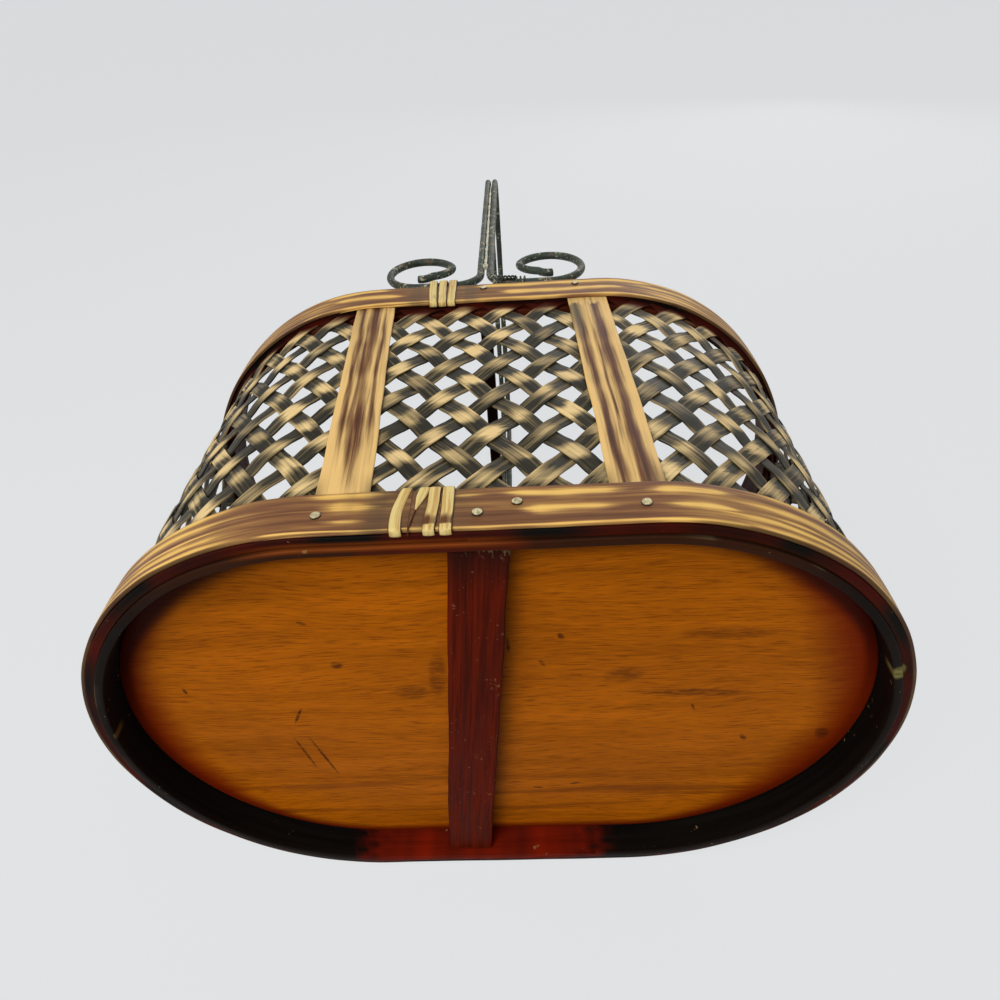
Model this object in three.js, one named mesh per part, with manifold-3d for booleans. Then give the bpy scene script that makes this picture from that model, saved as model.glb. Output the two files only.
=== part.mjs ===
// A woven oval basket for wine bottles: bent wooden hoops, a bias-woven strip wall, flat slats,
// a plywood base and a welded wire handle with scrolled feet.
// Millimetres. X runs along the basket, Y across it (front is -Y) and Z up from the ground.

import * as THREE from 'three';
import { mergeVertices } from 'three/addons/utils/BufferGeometryUtils.js';
import Module from 'manifold-3d';

// Body: outside of the outer hoops at the ground, and the lean of the wall up to the rim.
const BASE_LENGTH = 260;
const BASE_WIDTH = 170;
const BODY_HEIGHT = 156;
const FLARE = 4.5;
const END_FLARE_SHARE = 0.1;
const FIT = 0.3;
const MERGE_TOLERANCE = 1e-4;
const ARC_STEPS = 20;

// Wall layers, each lying inside the one before.
const OUTER_HOOP_THICKNESS = 1.3;
const SLAT_THICKNESS = 0.8;
const STRIP_THICKNESS = 0.45;
const STRIP_GAP = 0.3;
const WEAVE_CLEARANCE = 0.4;
const INNER_HOOP_THICKNESS = 2.7;

// Hoop heights. The outer base hoop is lifted so that the rattan can pass under it.
const OUTER_HOOP_LIFT = 1.5;
const BASE_OUTER_HOOP_HEIGHT = 16;
const BASE_INNER_HOOP_HEIGHT = 20;
const RIM_OUTER_HOOP_HEIGHT = 16;
const RIM_INNER_HOOP_HEIGHT = 18;

// Woven strips: how many run each way round, their width, their climb per millimetre along, the
// sideways drift of the whole pattern with height, and one crossing on the front wall.
const STRIPS_EACH_WAY = 42;
const STRIP_WIDTH = 6.4;
const STRIP_CLIMB = 1.29;
const STRIP_DRIFT = 0.045;
const STRIP_CROSSING_X = 2.6;
const STRIP_CROSSING_HEIGHT = 48;
const STRIP_STEP = 18.5;
const STRIP_FOOT = 1;
const STRIP_TOP_BELOW_RIM = 2.5;
const STRIP_END_BAND = 12.5;

// Slats on the long walls: distance of each foot and top from the middle of the wall.
const SLAT_WIDTH = 15.4;
const SLAT_END_INSET = 1.8;
const SLAT_COLUMNS = 4;
const LEFT_SLAT_FOOT = 35.7;
const LEFT_SLAT_TOP = 45.8;
const RIGHT_SLAT_FOOT = 44.2;
const RIGHT_SLAT_TOP = 40.1;

// Base.
const PANEL_RECESS = 11;
const PANEL_THICKNESS = 4;
const CROSSBAR_WIDTH = 16.6;
const CROSSBAR_THICKNESS = 7.9;
const CROSSBAR_X = -7;
const CROSSBAR_TURN = THREE.MathUtils.degToRad(5.6);

// Divider across the mouth.
const DIVIDER_WIDTH = 4.8;
const DIVIDER_HEIGHT = 5;
const DIVIDER_TOP_BELOW_RIM = 3;
const DIVIDER_X = -1.1;

// Wire handle.
const ROD_DIAMETER = 3.3;
const ROD_GAP = 0.8;
const ROD_SIDES = 8;
const HANDLE_X = -0.9;
const HANDLE_RISE = 184;
const HANDLE_CORNER_RADIUS = 14;
const HANDLE_SEAT = 3.4;
const HANDLE_DEPTH = 1.6;
const FOOT_BEND_RADIUS = 12;
const SCROLL_WIDTH = 31.7;
const SCROLL_HEIGHT = 35;
const SCROLL_FROM_CENTRE = 27.8;
const SCROLL_TURN = THREE.MathUtils.degToRad(372);
const SCROLL_STEPS = 30;
const SCROLL_END_SHARE = 0.37;
const SCROLL_TIGHTEN_FROM = THREE.MathUtils.degToRad(240);
const SCROLL_TIGHTEN_TO = THREE.MathUtils.degToRad(305);
const BEND_STEPS = 6;
const WELD_RADIUS = 0.85;
const WELD_SIDES = 8;
const WELD_RINGS = 6;
const WELD_ABOVE_SEAT = 17.5;

// Tie wires that lash the handle's feet to the inner rim hoop.
const TIE_WIRE_DIAMETER = 0.8;
const TIE_WIRE_SIDES = 5;
const TIE_TURNS = 3;
const TIE_PITCH = 1.6;
const TIE_FROM_LEG = 11;
const TIE_DROP = 8;
const TIE_SLOT_HEIGHT = 2;
const TIE_ARC_FROM = 285;
const TIE_ARC_TO = 30;
const TIE_ARC_STEPS = 8;

// Rattan lashings round the outer hoops' lap joints.
const RATTAN_THICKNESS = 0.7;
const RATTAN_WIDTH = 3.3;
const RATTAN_PITCH = 4;
const RATTAN_ARC_FROM = 175;
const RATTAN_ARC_TO = -75;
const RATTAN_ARC_STEPS = 8;
const BASE_LASHING_FROM_CROSSBAR = 13.9;
const BASE_LASHING_STRANDS = 4;
const BASE_LASHING_LEAN = 1.8;
const RIM_LASHING_FROM_LEG = 17.1;
const RIM_LASHING_STRANDS = 3;
const RIM_LASHING_LEAN = -1;

// Nails.
const NAIL_HEAD_RADIUS = 1.5;
const NAIL_HEAD_HEIGHT = 0.9;
const NAIL_SHANK_RADIUS = 0.8;
const NAIL_SIDES = 8;
const NAIL_DOME_STEPS = 3;
const NAIL_TIP_CLEARANCE = 0.9;
const HOOP_NAIL_LENGTH = 5.8;
const END_NAIL_LENGTH = 17;
const SLAT_NAIL_HEIGHT = 8;
const LEFT_NAIL_FROM_SLAT = 6;
const BASE_NAIL_HEIGHT = 10.5;
const BASE_NAIL_FROM_CROSSBAR = 10.3;
const RIM_NAIL_DROP = 5;
const RIM_NAIL_FROM_SLAT = 3.6;

// Depths of the wall layers below the basket's outside face.
const halfStraight = (BASE_LENGTH - BASE_WIDTH) / 2;
const cornerRadius = BASE_WIDTH / 2;
const slatDepth = OUTER_HOOP_THICKNESS + FIT;
const outerStripDepth = slatDepth + SLAT_THICKNESS + FIT;
const innerStripDepth = outerStripDepth + STRIP_THICKNESS + STRIP_GAP;
const innerHoopDepth = innerStripDepth + STRIP_THICKNESS + WEAVE_CLEARANCE;
const insideDepth = innerHoopDepth + INNER_HOOP_THICKNESS;
const seamLength = 4 * halfStraight + 2 * Math.PI * cornerRadius;

const wasm = await Module();
wasm.setup();
const basket = new THREE.Group();

// Colours and finishes.
const FINISHES = {
  hoop: { color: 0x7a4c2c, roughness: 0.5, metalness: 0 },
  darkHoop: { color: 0x2c1a12, roughness: 0.55, metalness: 0 },
  slat: { color: 0x8a5a34, roughness: 0.5, metalness: 0 },
  strip: { color: 0x5b4a32, roughness: 0.6, metalness: 0 },
  panel: { color: 0xa5601c, roughness: 0.35, metalness: 0 },
  crossbar: { color: 0x4b190c, roughness: 0.5, metalness: 0 },
  wire: { color: 0x37413a, roughness: 0.45, metalness: 0.7 },
  weld: { color: 0xb9b59a, roughness: 0.5, metalness: 0.7 },
  rattan: { color: 0xe3cf8a, roughness: 0.6, metalness: 0 },
  nail: { color: 0xbdb27a, roughness: 0.35, metalness: 0.9 },
};

function addPiece(name, geometry, finish) {
  const mesh = new THREE.Mesh(geometry, new THREE.MeshStandardMaterial(FINISHES[finish]));
  mesh.name = name;
  basket.add(mesh);
  return mesh;
}

// A place on the wall: how far along the seam from the front centre, how deep below the outside
// face, and how high. The wall is a stadium whose long sides lean out evenly with height, and less
// and less round towards its two ends.
function wallPoint(along, depth, height) {
  const half = seamLength / 2;
  const wrapped = THREE.MathUtils.euclideanModulo(along + half / 2, seamLength);
  const side = wrapped < half ? 1 : -1;
  const local = (wrapped % half) - half / 2;
  const overrun = Math.max(Math.abs(local) - halfStraight, 0) * Math.sign(local);
  const angle = overrun / cornerRadius;
  const lean = FLARE * (1 - (1 - END_FLARE_SHARE) * Math.sin(angle) ** 2);
  const radius = cornerRadius + (lean * height) / BODY_HEIGHT - depth;
  const x = THREE.MathUtils.clamp(local, -halfStraight, halfStraight) + radius * Math.sin(angle);
  const y = -radius * Math.cos(angle);
  return new THREE.Vector3(side * x, side * y, height);
}

// Bends a shape drawn as (along, depth, height) onto the wall.
function bendOntoWall(geometry) {
  const positions = geometry.attributes.position;
  for (let i = 0; i < positions.count; i += 1) {
    const point = wallPoint(positions.getX(i), positions.getY(i), positions.getZ(i));
    positions.setXYZ(i, point.x, point.y, point.z);
  }
  return geometry;
}

// Stations along the seam: the ends of the straight walls and even steps round each end.
function seamStations() {
  const stations = [];
  const arc = Math.PI * cornerRadius;
  for (const start of [halfStraight, 3 * halfStraight + arc]) {
    for (let i = 0; i <= ARC_STEPS; i += 1) {
      stations.push(start + (arc * i) / ARC_STEPS);
    }
  }
  return stations;
}

// Joins rings of equal point counts into a band that closes on itself.
function loft(rings) {
  const size = rings[0].length;
  const positions = rings.flat().flatMap((point) => point.toArray());
  const index = [];
  for (let i = 0; i < rings.length; i += 1) {
    const next = (i + 1) % rings.length;
    for (let j = 0; j < size; j += 1) {
      const k = (j + 1) % size;
      index.push(i * size + j, next * size + j, next * size + k);
      index.push(i * size + j, next * size + k, i * size + k);
    }
  }
  const geometry = new THREE.BufferGeometry();
  geometry.setAttribute('position', new THREE.Float32BufferAttribute(positions, 3));
  geometry.setIndex(index);
  return geometry;
}

// A bent hoop of rectangular section that follows the wall all the way round.
function hoop(depth, thickness, bottom, height) {
  const section = [
    [depth, bottom],
    [depth, bottom + height],
    [depth + thickness, bottom + height],
    [depth + thickness, bottom],
  ];
  const rings = seamStations().map((along) => section.map(([d, z]) => wallPoint(along, d, z)));
  return loft(rings);
}

// Solids for cutting, and back to geometry.
function toSolid(geometry, matrix = new THREE.Matrix4()) {
  const bare = geometry.clone().applyMatrix4(matrix);
  bare.deleteAttribute('normal');
  bare.deleteAttribute('uv');
  const merged = mergeVertices(bare, MERGE_TOLERANCE);
  return new wasm.Manifold(new wasm.Mesh({
    numProp: 3,
    vertProperties: new Float32Array(merged.attributes.position.array),
    triVerts: new Uint32Array(merged.index.array),
  }));
}

function cut(geometry, tools) {
  const solid = tools.reduce((rest, tool) => rest.subtract(tool), toSolid(geometry));
  const mesh = solid.getMesh();
  const result = new THREE.BufferGeometry();
  result.setAttribute('position', new THREE.Float32BufferAttribute(mesh.vertProperties, 3));
  result.setIndex(Array.from(mesh.triVerts));
  return result;
}

// One layer of the weave: strips that all climb the same way, joined where the hoops hide them.
// Both faces of a strip are split along its short diagonal, so that they bend alike.
function stripLayer(depth, climbSign) {
  const top = BODY_HEIGHT - STRIP_TOP_BELOW_RIM;
  const openFrom = STRIP_FOOT + STRIP_END_BAND;
  const openTo = top - STRIP_END_BAND;
  const rows = Math.ceil((openTo - openFrom) / STRIP_STEP);
  const heights = [STRIP_FOOT];
  for (let i = 0; i <= rows; i += 1) {
    heights.push(openFrom + ((openTo - openFrom) * i) / rows);
  }
  heights.push(top);
  const pitch = seamLength / STRIPS_EACH_WAY;
  const slope = climbSign / STRIP_CLIMB + STRIP_DRIFT;
  const wide = STRIP_WIDTH * Math.sqrt(1 + slope ** 2);
  const columns = STRIPS_EACH_WAY * 2;
  const positions = [];
  for (const z of heights) {
    for (let c = 0; c < columns; c += 1) {
      const middle = pitch * Math.floor(c / 2) + slope * (z - STRIP_CROSSING_HEIGHT);
      const along = STRIP_CROSSING_X + middle + ((c % 2) - 0.5) * wide;
      positions.push(...wallPoint(along, depth, z).toArray());
      positions.push(...wallPoint(along, depth + STRIP_THICKNESS, z).toArray());
    }
  }
  const vertex = (row, column, face) => 2 * (row * columns + (column % columns)) + face;
  const filled = (row, column) => row === 0 || row === heights.length - 2 || column % 2 === 0;
  const index = [];
  const quad = (a, b, c, d) => index.push(a, b, c, a, c, d);
  for (let r = 0; r < heights.length - 1; r += 1) {
    for (let c = 0; c < columns; c += 1) {
      if (!filled(r, c)) {
        continue;
      }
      const [nearLeft, nearRight] = [vertex(r, c, 0), vertex(r, c + 1, 0)];
      const [farLeft, farRight] = [vertex(r, c, 1), vertex(r, c + 1, 1)];
      const [nearLeftUp, nearRightUp] = [vertex(r + 1, c, 0), vertex(r + 1, c + 1, 0)];
      const [farLeftUp, farRightUp] = [vertex(r + 1, c, 1), vertex(r + 1, c + 1, 1)];
      if (climbSign > 0) {
        quad(nearRight, nearRightUp, nearLeftUp, nearLeft);
        quad(farRight, farLeft, farLeftUp, farRightUp);
      } else {
        quad(nearLeft, nearRight, nearRightUp, nearLeftUp);
        quad(farLeft, farLeftUp, farRightUp, farRight);
      }
      if (!filled(r, c + 1)) {
        quad(nearRight, farRight, farRightUp, nearRightUp);
        quad(farLeft, nearLeft, nearLeftUp, farLeftUp);
      }
      if (r === 0 || !filled(r - 1, c)) {
        quad(farLeft, farRight, nearRight, nearLeft);
      }
      if (r === heights.length - 2 || !filled(r + 1, c)) {
        quad(nearLeftUp, nearRightUp, farRightUp, farLeftUp);
      }
    }
  }
  const geometry = new THREE.BufferGeometry();
  geometry.setAttribute('position', new THREE.Float32BufferAttribute(positions, 3));
  geometry.setIndex(index);
  return geometry;
}

// A flat slat tucked behind the outer hoops, leaning from its foot to its top.
function slat(centre, footAway, topAway, side) {
  const height = BODY_HEIGHT - OUTER_HOOP_LIFT - SLAT_END_INSET - STRIP_TOP_BELOW_RIM;
  const shape = new THREE.BoxGeometry(SLAT_WIDTH, SLAT_THICKNESS, height, SLAT_COLUMNS, 1, 1);
  const foot = OUTER_HOOP_LIFT + SLAT_END_INSET;
  shape.translate(0, slatDepth + SLAT_THICKNESS / 2, foot + height / 2);
  const positions = shape.attributes.position;
  for (let i = 0; i < positions.count; i += 1) {
    const share = positions.getZ(i) / BODY_HEIGHT;
    const away = THREE.MathUtils.lerp(footAway, topAway, share);
    positions.setX(i, positions.getX(i) + centre + side * away);
  }
  return bendOntoWall(shape);
}

// A nail driven square through the wall at one place, and the hole that it needs.
const nails = [];

function nailMatrix({ along, height }) {
  const face = wallPoint(along, -FIT, height);
  const inward = wallPoint(along, 1, height).sub(wallPoint(along, 0, height)).normalize();
  const turn = new THREE.Quaternion().setFromUnitVectors(new THREE.Vector3(0, 1, 0), inward);
  return new THREE.Matrix4().compose(face, turn, new THREE.Vector3(1, 1, 1));
}

function nailGeometry(length) {
  const profile = [new THREE.Vector2(0, -NAIL_HEAD_HEIGHT)];
  for (let i = 1; i < NAIL_DOME_STEPS; i += 1) {
    const angle = (i * Math.PI) / (2 * NAIL_DOME_STEPS);
    profile.push(new THREE.Vector2(
      NAIL_HEAD_RADIUS * Math.sin(angle), -NAIL_HEAD_HEIGHT * Math.cos(angle)));
  }
  profile.push(
    new THREE.Vector2(NAIL_HEAD_RADIUS, 0),
    new THREE.Vector2(NAIL_SHANK_RADIUS, 0),
    new THREE.Vector2(NAIL_SHANK_RADIUS, length - NAIL_SHANK_RADIUS),
    new THREE.Vector2(0, length),
  );
  return new THREE.LatheGeometry(profile, NAIL_SIDES);
}

function nailHole(nail) {
  const length = nail.length + FIT + NAIL_TIP_CLEARANCE;
  const bore = new THREE.CylinderGeometry(
    NAIL_SHANK_RADIUS + FIT, NAIL_SHANK_RADIUS + FIT, length, NAIL_SIDES);
  bore.translate(0, length / 2 - FIT, 0);
  return toSolid(bore, nailMatrix(nail));
}

function planNail(name, along, height, length) {
  nails.push({ name, along, height, length });
}

const back = seamLength / 2;
const rimNailHeight = BODY_HEIGHT - RIM_NAIL_DROP;
const crossbarMiddle = PANEL_RECESS - FIT - CROSSBAR_THICKNESS / 2;
const crossbarReach = (cornerRadius - insideDepth) * Math.tan(CROSSBAR_TURN);
const crossbarFront = CROSSBAR_X + crossbarReach;
const baseNail = crossbarFront + BASE_NAIL_FROM_CROSSBAR;
const rimNail = RIGHT_SLAT_TOP - RIM_NAIL_FROM_SLAT;
const leftNail = LEFT_SLAT_FOOT + LEFT_NAIL_FROM_SLAT;
planNail('nail_base_front_left', -leftNail, SLAT_NAIL_HEIGHT, HOOP_NAIL_LENGTH);
planNail('nail_base_front_right', RIGHT_SLAT_FOOT, SLAT_NAIL_HEIGHT, HOOP_NAIL_LENGTH);
planNail('nail_base_front_hoop', baseNail, BASE_NAIL_HEIGHT, HOOP_NAIL_LENGTH);
planNail('nail_crossbar_front', crossbarFront, crossbarMiddle, END_NAIL_LENGTH);
planNail('nail_crossbar_back', back - CROSSBAR_X + crossbarReach, crossbarMiddle, END_NAIL_LENGTH);
planNail('nail_base_back_left', back - leftNail, SLAT_NAIL_HEIGHT, HOOP_NAIL_LENGTH);
planNail('nail_base_back_right', back + RIGHT_SLAT_FOOT, SLAT_NAIL_HEIGHT, HOOP_NAIL_LENGTH);
planNail('nail_divider_front', DIVIDER_X, rimNailHeight, END_NAIL_LENGTH);
planNail('nail_divider_back', back - DIVIDER_X, rimNailHeight, END_NAIL_LENGTH);
planNail('nail_rim_front', rimNail, rimNailHeight, HOOP_NAIL_LENGTH);
planNail('nail_rim_back', back + rimNail, rimNailHeight, HOOP_NAIL_LENGTH);
const holes = nails.map(nailHole);

// Handle: the two rods mirror each other; each runs from its front scroll over to its back scroll.
const rodRadius = ROD_DIAMETER / 2;
const seatDepth = HANDLE_DEPTH;
const seatHeight = BODY_HEIGHT + HANDLE_SEAT;
const legY = cornerRadius + FLARE - seatDepth;
const legOffset = (ROD_DIAMETER + ROD_GAP) / 2;
const gripHeight = BODY_HEIGHT + HANDLE_RISE;

// Evenly spaced points on an arc in a flat plane, angles in degrees.
function arcPoints([centreA, centreB], radius, from, to, steps) {
  const points = [];
  for (let i = 0; i <= steps; i += 1) {
    const angle = THREE.MathUtils.degToRad(THREE.MathUtils.lerp(from, to, i / steps));
    points.push([centreA + radius * Math.cos(angle), centreB + radius * Math.sin(angle)]);
  }
  return points;
}

// Half of a rod as (outward, across, up) points: scroll, run along the rim, foot bend, leg, corner.
function halfRod() {
  const radiusX = SCROLL_WIDTH / 2 - rodRadius;
  const radiusZ = SCROLL_HEIGHT / 2 - rodRadius;
  const scroll = [];
  for (let i = 0; i <= SCROLL_STEPS; i += 1) {
    const angle = SCROLL_TURN * (1 - i / SCROLL_STEPS);
    const tightened = THREE.MathUtils.smoothstep(angle, SCROLL_TIGHTEN_FROM, SCROLL_TIGHTEN_TO);
    const shrink = 1 - (1 - SCROLL_END_SHARE) * tightened;
    scroll.push([
      SCROLL_FROM_CENTRE + radiusX * shrink * Math.sin(angle),
      seatHeight + radiusZ * (1 - shrink * Math.cos(angle)),
    ]);
  }
  const footCentre = [legOffset + FOOT_BEND_RADIUS, seatHeight + FOOT_BEND_RADIUS];
  const foot = arcPoints(footCentre, FOOT_BEND_RADIUS, -90, -180, BEND_STEPS);
  const flat = [...scroll, ...foot];
  const rise = flat.map(([x, z]) => new THREE.Vector3(x, -legY, z));
  const cornerCentre = [-legY + HANDLE_CORNER_RADIUS, gripHeight - HANDLE_CORNER_RADIUS];
  const corner = arcPoints(cornerCentre, HANDLE_CORNER_RADIUS, 180, 90, BEND_STEPS);
  return [...rise, ...corner.map(([y, z]) => new THREE.Vector3(legOffset, y, z))];
}

function wireAlong(points, diameter, sides) {
  const corners = Array.from({ length: sides }, (_, i) => {
    const angle = (2 * Math.PI * i) / sides;
    return new THREE.Vector2(Math.cos(angle), Math.sin(angle)).multiplyScalar(diameter / 2);
  });
  const outline = new THREE.Shape(corners);
  const path = new THREE.CatmullRomCurve3(points);
  path.getUtoTmapping = (share) => share;
  return new THREE.ExtrudeGeometry(outline, {
    steps: points.length - 1, bevelEnabled: false, extrudePath: path });
}

function handleRod(side) {
  const front = halfRod();
  const rear = front.map((point) => new THREE.Vector3(point.x, -point.y, point.z)).reverse();
  const route = [...front, ...rear];
  return route.map((point) => new THREE.Vector3(HANDLE_X + side * point.x, point.y, point.z));
}

// Tie wire: turns round the rod, the inner hoop and the weave, through a slot under the rim.
const tieDepthOut = OUTER_HOOP_THICKNESS + FIT + TIE_WIRE_DIAMETER / 2;
const tieDepthIn = insideDepth + FIT + TIE_WIRE_DIAMETER / 2;
const tieLow = BODY_HEIGHT - TIE_DROP;
const tieReach = rodRadius + FIT + TIE_WIRE_DIAMETER / 2;

function tieTurn() {
  const over = arcPoints([seatDepth, seatHeight], tieReach, TIE_ARC_FROM, TIE_ARC_TO, TIE_ARC_STEPS);
  const middle = (tieLow + BODY_HEIGHT) / 2;
  return [
    [tieDepthOut + TIE_WIRE_DIAMETER / 2, tieLow - FIT / 2],
    [tieDepthOut, tieLow + TIE_WIRE_DIAMETER],
    [tieDepthOut, middle],
    [tieDepthOut, BODY_HEIGHT - FIT],
    ...over,
    [tieDepthIn, BODY_HEIGHT + TIE_WIRE_DIAMETER],
    [tieDepthIn, middle],
    [tieDepthIn, tieLow + TIE_WIRE_DIAMETER],
    [tieDepthIn - TIE_WIRE_DIAMETER / 2, tieLow - FIT / 2],
    [(tieDepthIn + tieDepthOut) / 2, tieLow - FIT / 2],
  ];
}

function tieWire(start) {
  const turn = tieTurn();
  const points = [];
  for (let i = 0; i < turn.length * TIE_TURNS; i += 1) {
    const [depth, height] = turn[i % turn.length];
    points.push(wallPoint(start + (TIE_PITCH * i) / turn.length, depth, height));
  }
  return points;
}

// The smallest clear space between turns of a winding, measured from point to point.
function leastGap(points, pointsPerTurn, diameter) {
  let least = Infinity;
  for (let i = 0; i < points.length; i += 1) {
    for (let j = i + Math.ceil(pointsPerTurn / 2); j < points.length; j += 1) {
      least = Math.min(least, points[i].distanceTo(points[j]) - diameter);
    }
  }
  return least;
}

function tieSlot(start) {
  const length = TIE_PITCH * TIE_TURNS + TIE_WIRE_DIAMETER + 2 * FIT;
  const deep = insideDepth - outerStripDepth + 2 * TIE_WIRE_DIAMETER;
  const slot = new THREE.BoxGeometry(length, deep, TIE_SLOT_HEIGHT);
  const middle = start + (TIE_PITCH * TIE_TURNS) / 2;
  slot.translate(middle, outerStripDepth + deep / 2 - TIE_WIRE_DIAMETER, tieLow - FIT / 2);
  return toSolid(bendOntoWall(slot));
}

// A rattan strand: a closed band whose (depth, height) route is thickened and given a width.
function strand(route, along, slant) {
  const middle = route.reduce((sum, [, z]) => sum + z, 0) / route.length;
  const count = route.length;
  const rings = route.map(([d, z], i) => {
    const [dBefore, zBefore] = route[(i + count - 1) % count];
    const [dAfter, zAfter] = route[(i + 1) % count];
    const tangent = new THREE.Vector2(dAfter - dBefore, zAfter - zBefore).normalize();
    const half = RATTAN_THICKNESS / 2;
    const [nd, nz] = [-tangent.y * half, tangent.x * half];
    const shift = along + (slant * (z - middle)) / RIM_OUTER_HOOP_HEIGHT;
    return [
      wallPoint(shift - RATTAN_WIDTH / 2, d - nd, z - nz),
      wallPoint(shift + RATTAN_WIDTH / 2, d - nd, z - nz),
      wallPoint(shift + RATTAN_WIDTH / 2, d + nd, z + nz),
      wallPoint(shift - RATTAN_WIDTH / 2, d + nd, z + nz),
    ];
  });
  return loft(rings);
}

// Routes of the rattan: round the outer base hoop, and round the outer rim hoop and the rod on it.
const rattanStandoff = FIT + RATTAN_THICKNESS / 2;
const rattanCorner = RATTAN_THICKNESS / 2;

function hoopFace(bottom, top) {
  const near = -rattanStandoff;
  const low = bottom - rattanStandoff;
  return [
    [near + rattanCorner, low],
    [near, low + rattanCorner],
    [near, (bottom + top) / 2],
    [near, top + rattanStandoff - rattanCorner],
  ];
}

function baseLashingRoute() {
  const bottom = OUTER_HOOP_LIFT;
  const top = bottom + BASE_OUTER_HOOP_HEIGHT;
  const far = OUTER_HOOP_THICKNESS + rattanStandoff;
  return [
    ...hoopFace(bottom, top),
    [-rattanStandoff + rattanCorner, top + rattanStandoff],
    [far - rattanCorner, top + rattanStandoff],
    [far, top + rattanStandoff - rattanCorner],
    [far, bottom - rattanStandoff + rattanCorner],
    [far - rattanCorner, bottom - rattanStandoff],
  ];
}

function rimLashingRoute() {
  const bottom = BODY_HEIGHT - RIM_OUTER_HOOP_HEIGHT;
  const far = OUTER_HOOP_THICKNESS + rattanStandoff;
  const reach = rodRadius + rattanStandoff;
  const round = arcPoints(
    [seatDepth, seatHeight], reach, RATTAN_ARC_FROM, RATTAN_ARC_TO, RATTAN_ARC_STEPS);
  return [
    ...hoopFace(bottom, BODY_HEIGHT),
    ...round,
    [far, BODY_HEIGHT - RATTAN_THICKNESS],
    [far, bottom - rattanStandoff + rattanCorner],
    [far - rattanCorner, bottom - rattanStandoff],
  ];
}

// A row of strands side by side; the first leans most and the last stands upright.
function lashing(place, route, centre, strands, lean) {
  for (let i = 0; i < strands; i += 1) {
    const along = centre + RATTAN_PITCH * (i - (strands - 1) / 2);
    const slant = lean * (1 - i / (strands - 1));
    addPiece(`rattan_${place}_strand_${i + 1}`, strand(route, along, slant), 'rattan');
  }
}

// Base: panel seated inside the inner hoop, and the crossbar under it.
function panel() {
  const outline = seamStations().map((along) => {
    const point = wallPoint(along, insideDepth + FIT, PANEL_RECESS);
    return new THREE.Vector2(point.x, point.y);
  });
  const shape = new THREE.ExtrudeGeometry(new THREE.Shape(outline), {
    depth: PANEL_THICKNESS, bevelEnabled: false });
  return shape.translate(0, 0, PANEL_RECESS);
}

function crossbar() {
  const inside = cornerRadius - insideDepth - FIT;
  const corner = (CROSSBAR_WIDTH / 2) * Math.sin(CROSSBAR_TURN);
  const length = (2 * (inside - corner)) / Math.cos(CROSSBAR_TURN);
  const bar = new THREE.BoxGeometry(CROSSBAR_WIDTH, length, CROSSBAR_THICKNESS);
  bar.rotateZ(CROSSBAR_TURN);
  return bar.translate(CROSSBAR_X, 0, crossbarMiddle);
}

function divider() {
  const top = BODY_HEIGHT - DIVIDER_TOP_BELOW_RIM;
  const lowest = wallPoint(0, insideDepth + FIT, top - DIVIDER_HEIGHT);
  const bar = new THREE.BoxGeometry(DIVIDER_WIDTH, -2 * lowest.y, DIVIDER_HEIGHT);
  return bar.translate(DIVIDER_X, 0, top - DIVIDER_HEIGHT / 2);
}

// Assembly.
const rimOuterBottom = BODY_HEIGHT - RIM_OUTER_HOOP_HEIGHT;
const rimInnerBottom = BODY_HEIGHT - RIM_INNER_HOOP_HEIGHT;
const tieFrom = legOffset + TIE_FROM_LEG;
const tieLength = TIE_PITCH * TIE_TURNS;
const tieStarts = {
  tie_wire_front_right: HANDLE_X + tieFrom,
  tie_wire_back_right: back - HANDLE_X - tieFrom - tieLength,
  tie_wire_back_left: back - HANDLE_X + tieFrom,
};
const slots = Object.values(tieStarts).map(tieSlot);

addPiece('base_outer_hoop', cut(
  hoop(0, OUTER_HOOP_THICKNESS, OUTER_HOOP_LIFT, BASE_OUTER_HOOP_HEIGHT), holes), 'hoop');
addPiece('base_inner_hoop', cut(
  hoop(innerHoopDepth, INNER_HOOP_THICKNESS, 0, BASE_INNER_HOOP_HEIGHT), holes), 'darkHoop');
addPiece('rim_outer_hoop', cut(
  hoop(0, OUTER_HOOP_THICKNESS, rimOuterBottom, RIM_OUTER_HOOP_HEIGHT), holes), 'hoop');
addPiece('rim_inner_hoop', cut(
  hoop(innerHoopDepth, INNER_HOOP_THICKNESS, rimInnerBottom, RIM_INNER_HOOP_HEIGHT),
  [...holes, ...slots]), 'darkHoop');
addPiece('weave_outer_strips', cut(stripLayer(outerStripDepth, -1), [...holes, ...slots]), 'strip');
addPiece('weave_inner_strips', cut(stripLayer(innerStripDepth, 1), [...holes, ...slots]), 'strip');

for (const [wall, centre] of [['front', 0], ['back', back]]) {
  const left = slat(centre, LEFT_SLAT_FOOT, LEFT_SLAT_TOP, -1);
  const right = slat(centre, RIGHT_SLAT_FOOT, RIGHT_SLAT_TOP, 1);
  addPiece(`slat_${wall}_left`, cut(left, holes), 'slat');
  addPiece(`slat_${wall}_right`, cut(right, holes), 'slat');
}

addPiece('base_panel', panel(), 'panel');
addPiece('base_crossbar', cut(crossbar(), holes), 'crossbar');
addPiece('divider_bar', cut(divider(), holes), 'crossbar');

addPiece('handle_rod_left', wireAlong(handleRod(-1), ROD_DIAMETER, ROD_SIDES), 'wire');
addPiece('handle_rod_right', wireAlong(handleRod(1), ROD_DIAMETER, ROD_SIDES), 'wire');
const weldReach = Math.sqrt((rodRadius + FIT + WELD_RADIUS) ** 2 - legOffset ** 2);
for (const [wall, side] of [['front', -1], ['back', 1]]) {
  const bead = new THREE.SphereGeometry(WELD_RADIUS, WELD_SIDES, WELD_RINGS);
  const weld = addPiece(`handle_weld_${wall}`, bead, 'weld');
  weld.position.set(HANDLE_X, side * (legY + weldReach), seatHeight + WELD_ABOVE_SEAT);
}

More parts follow.
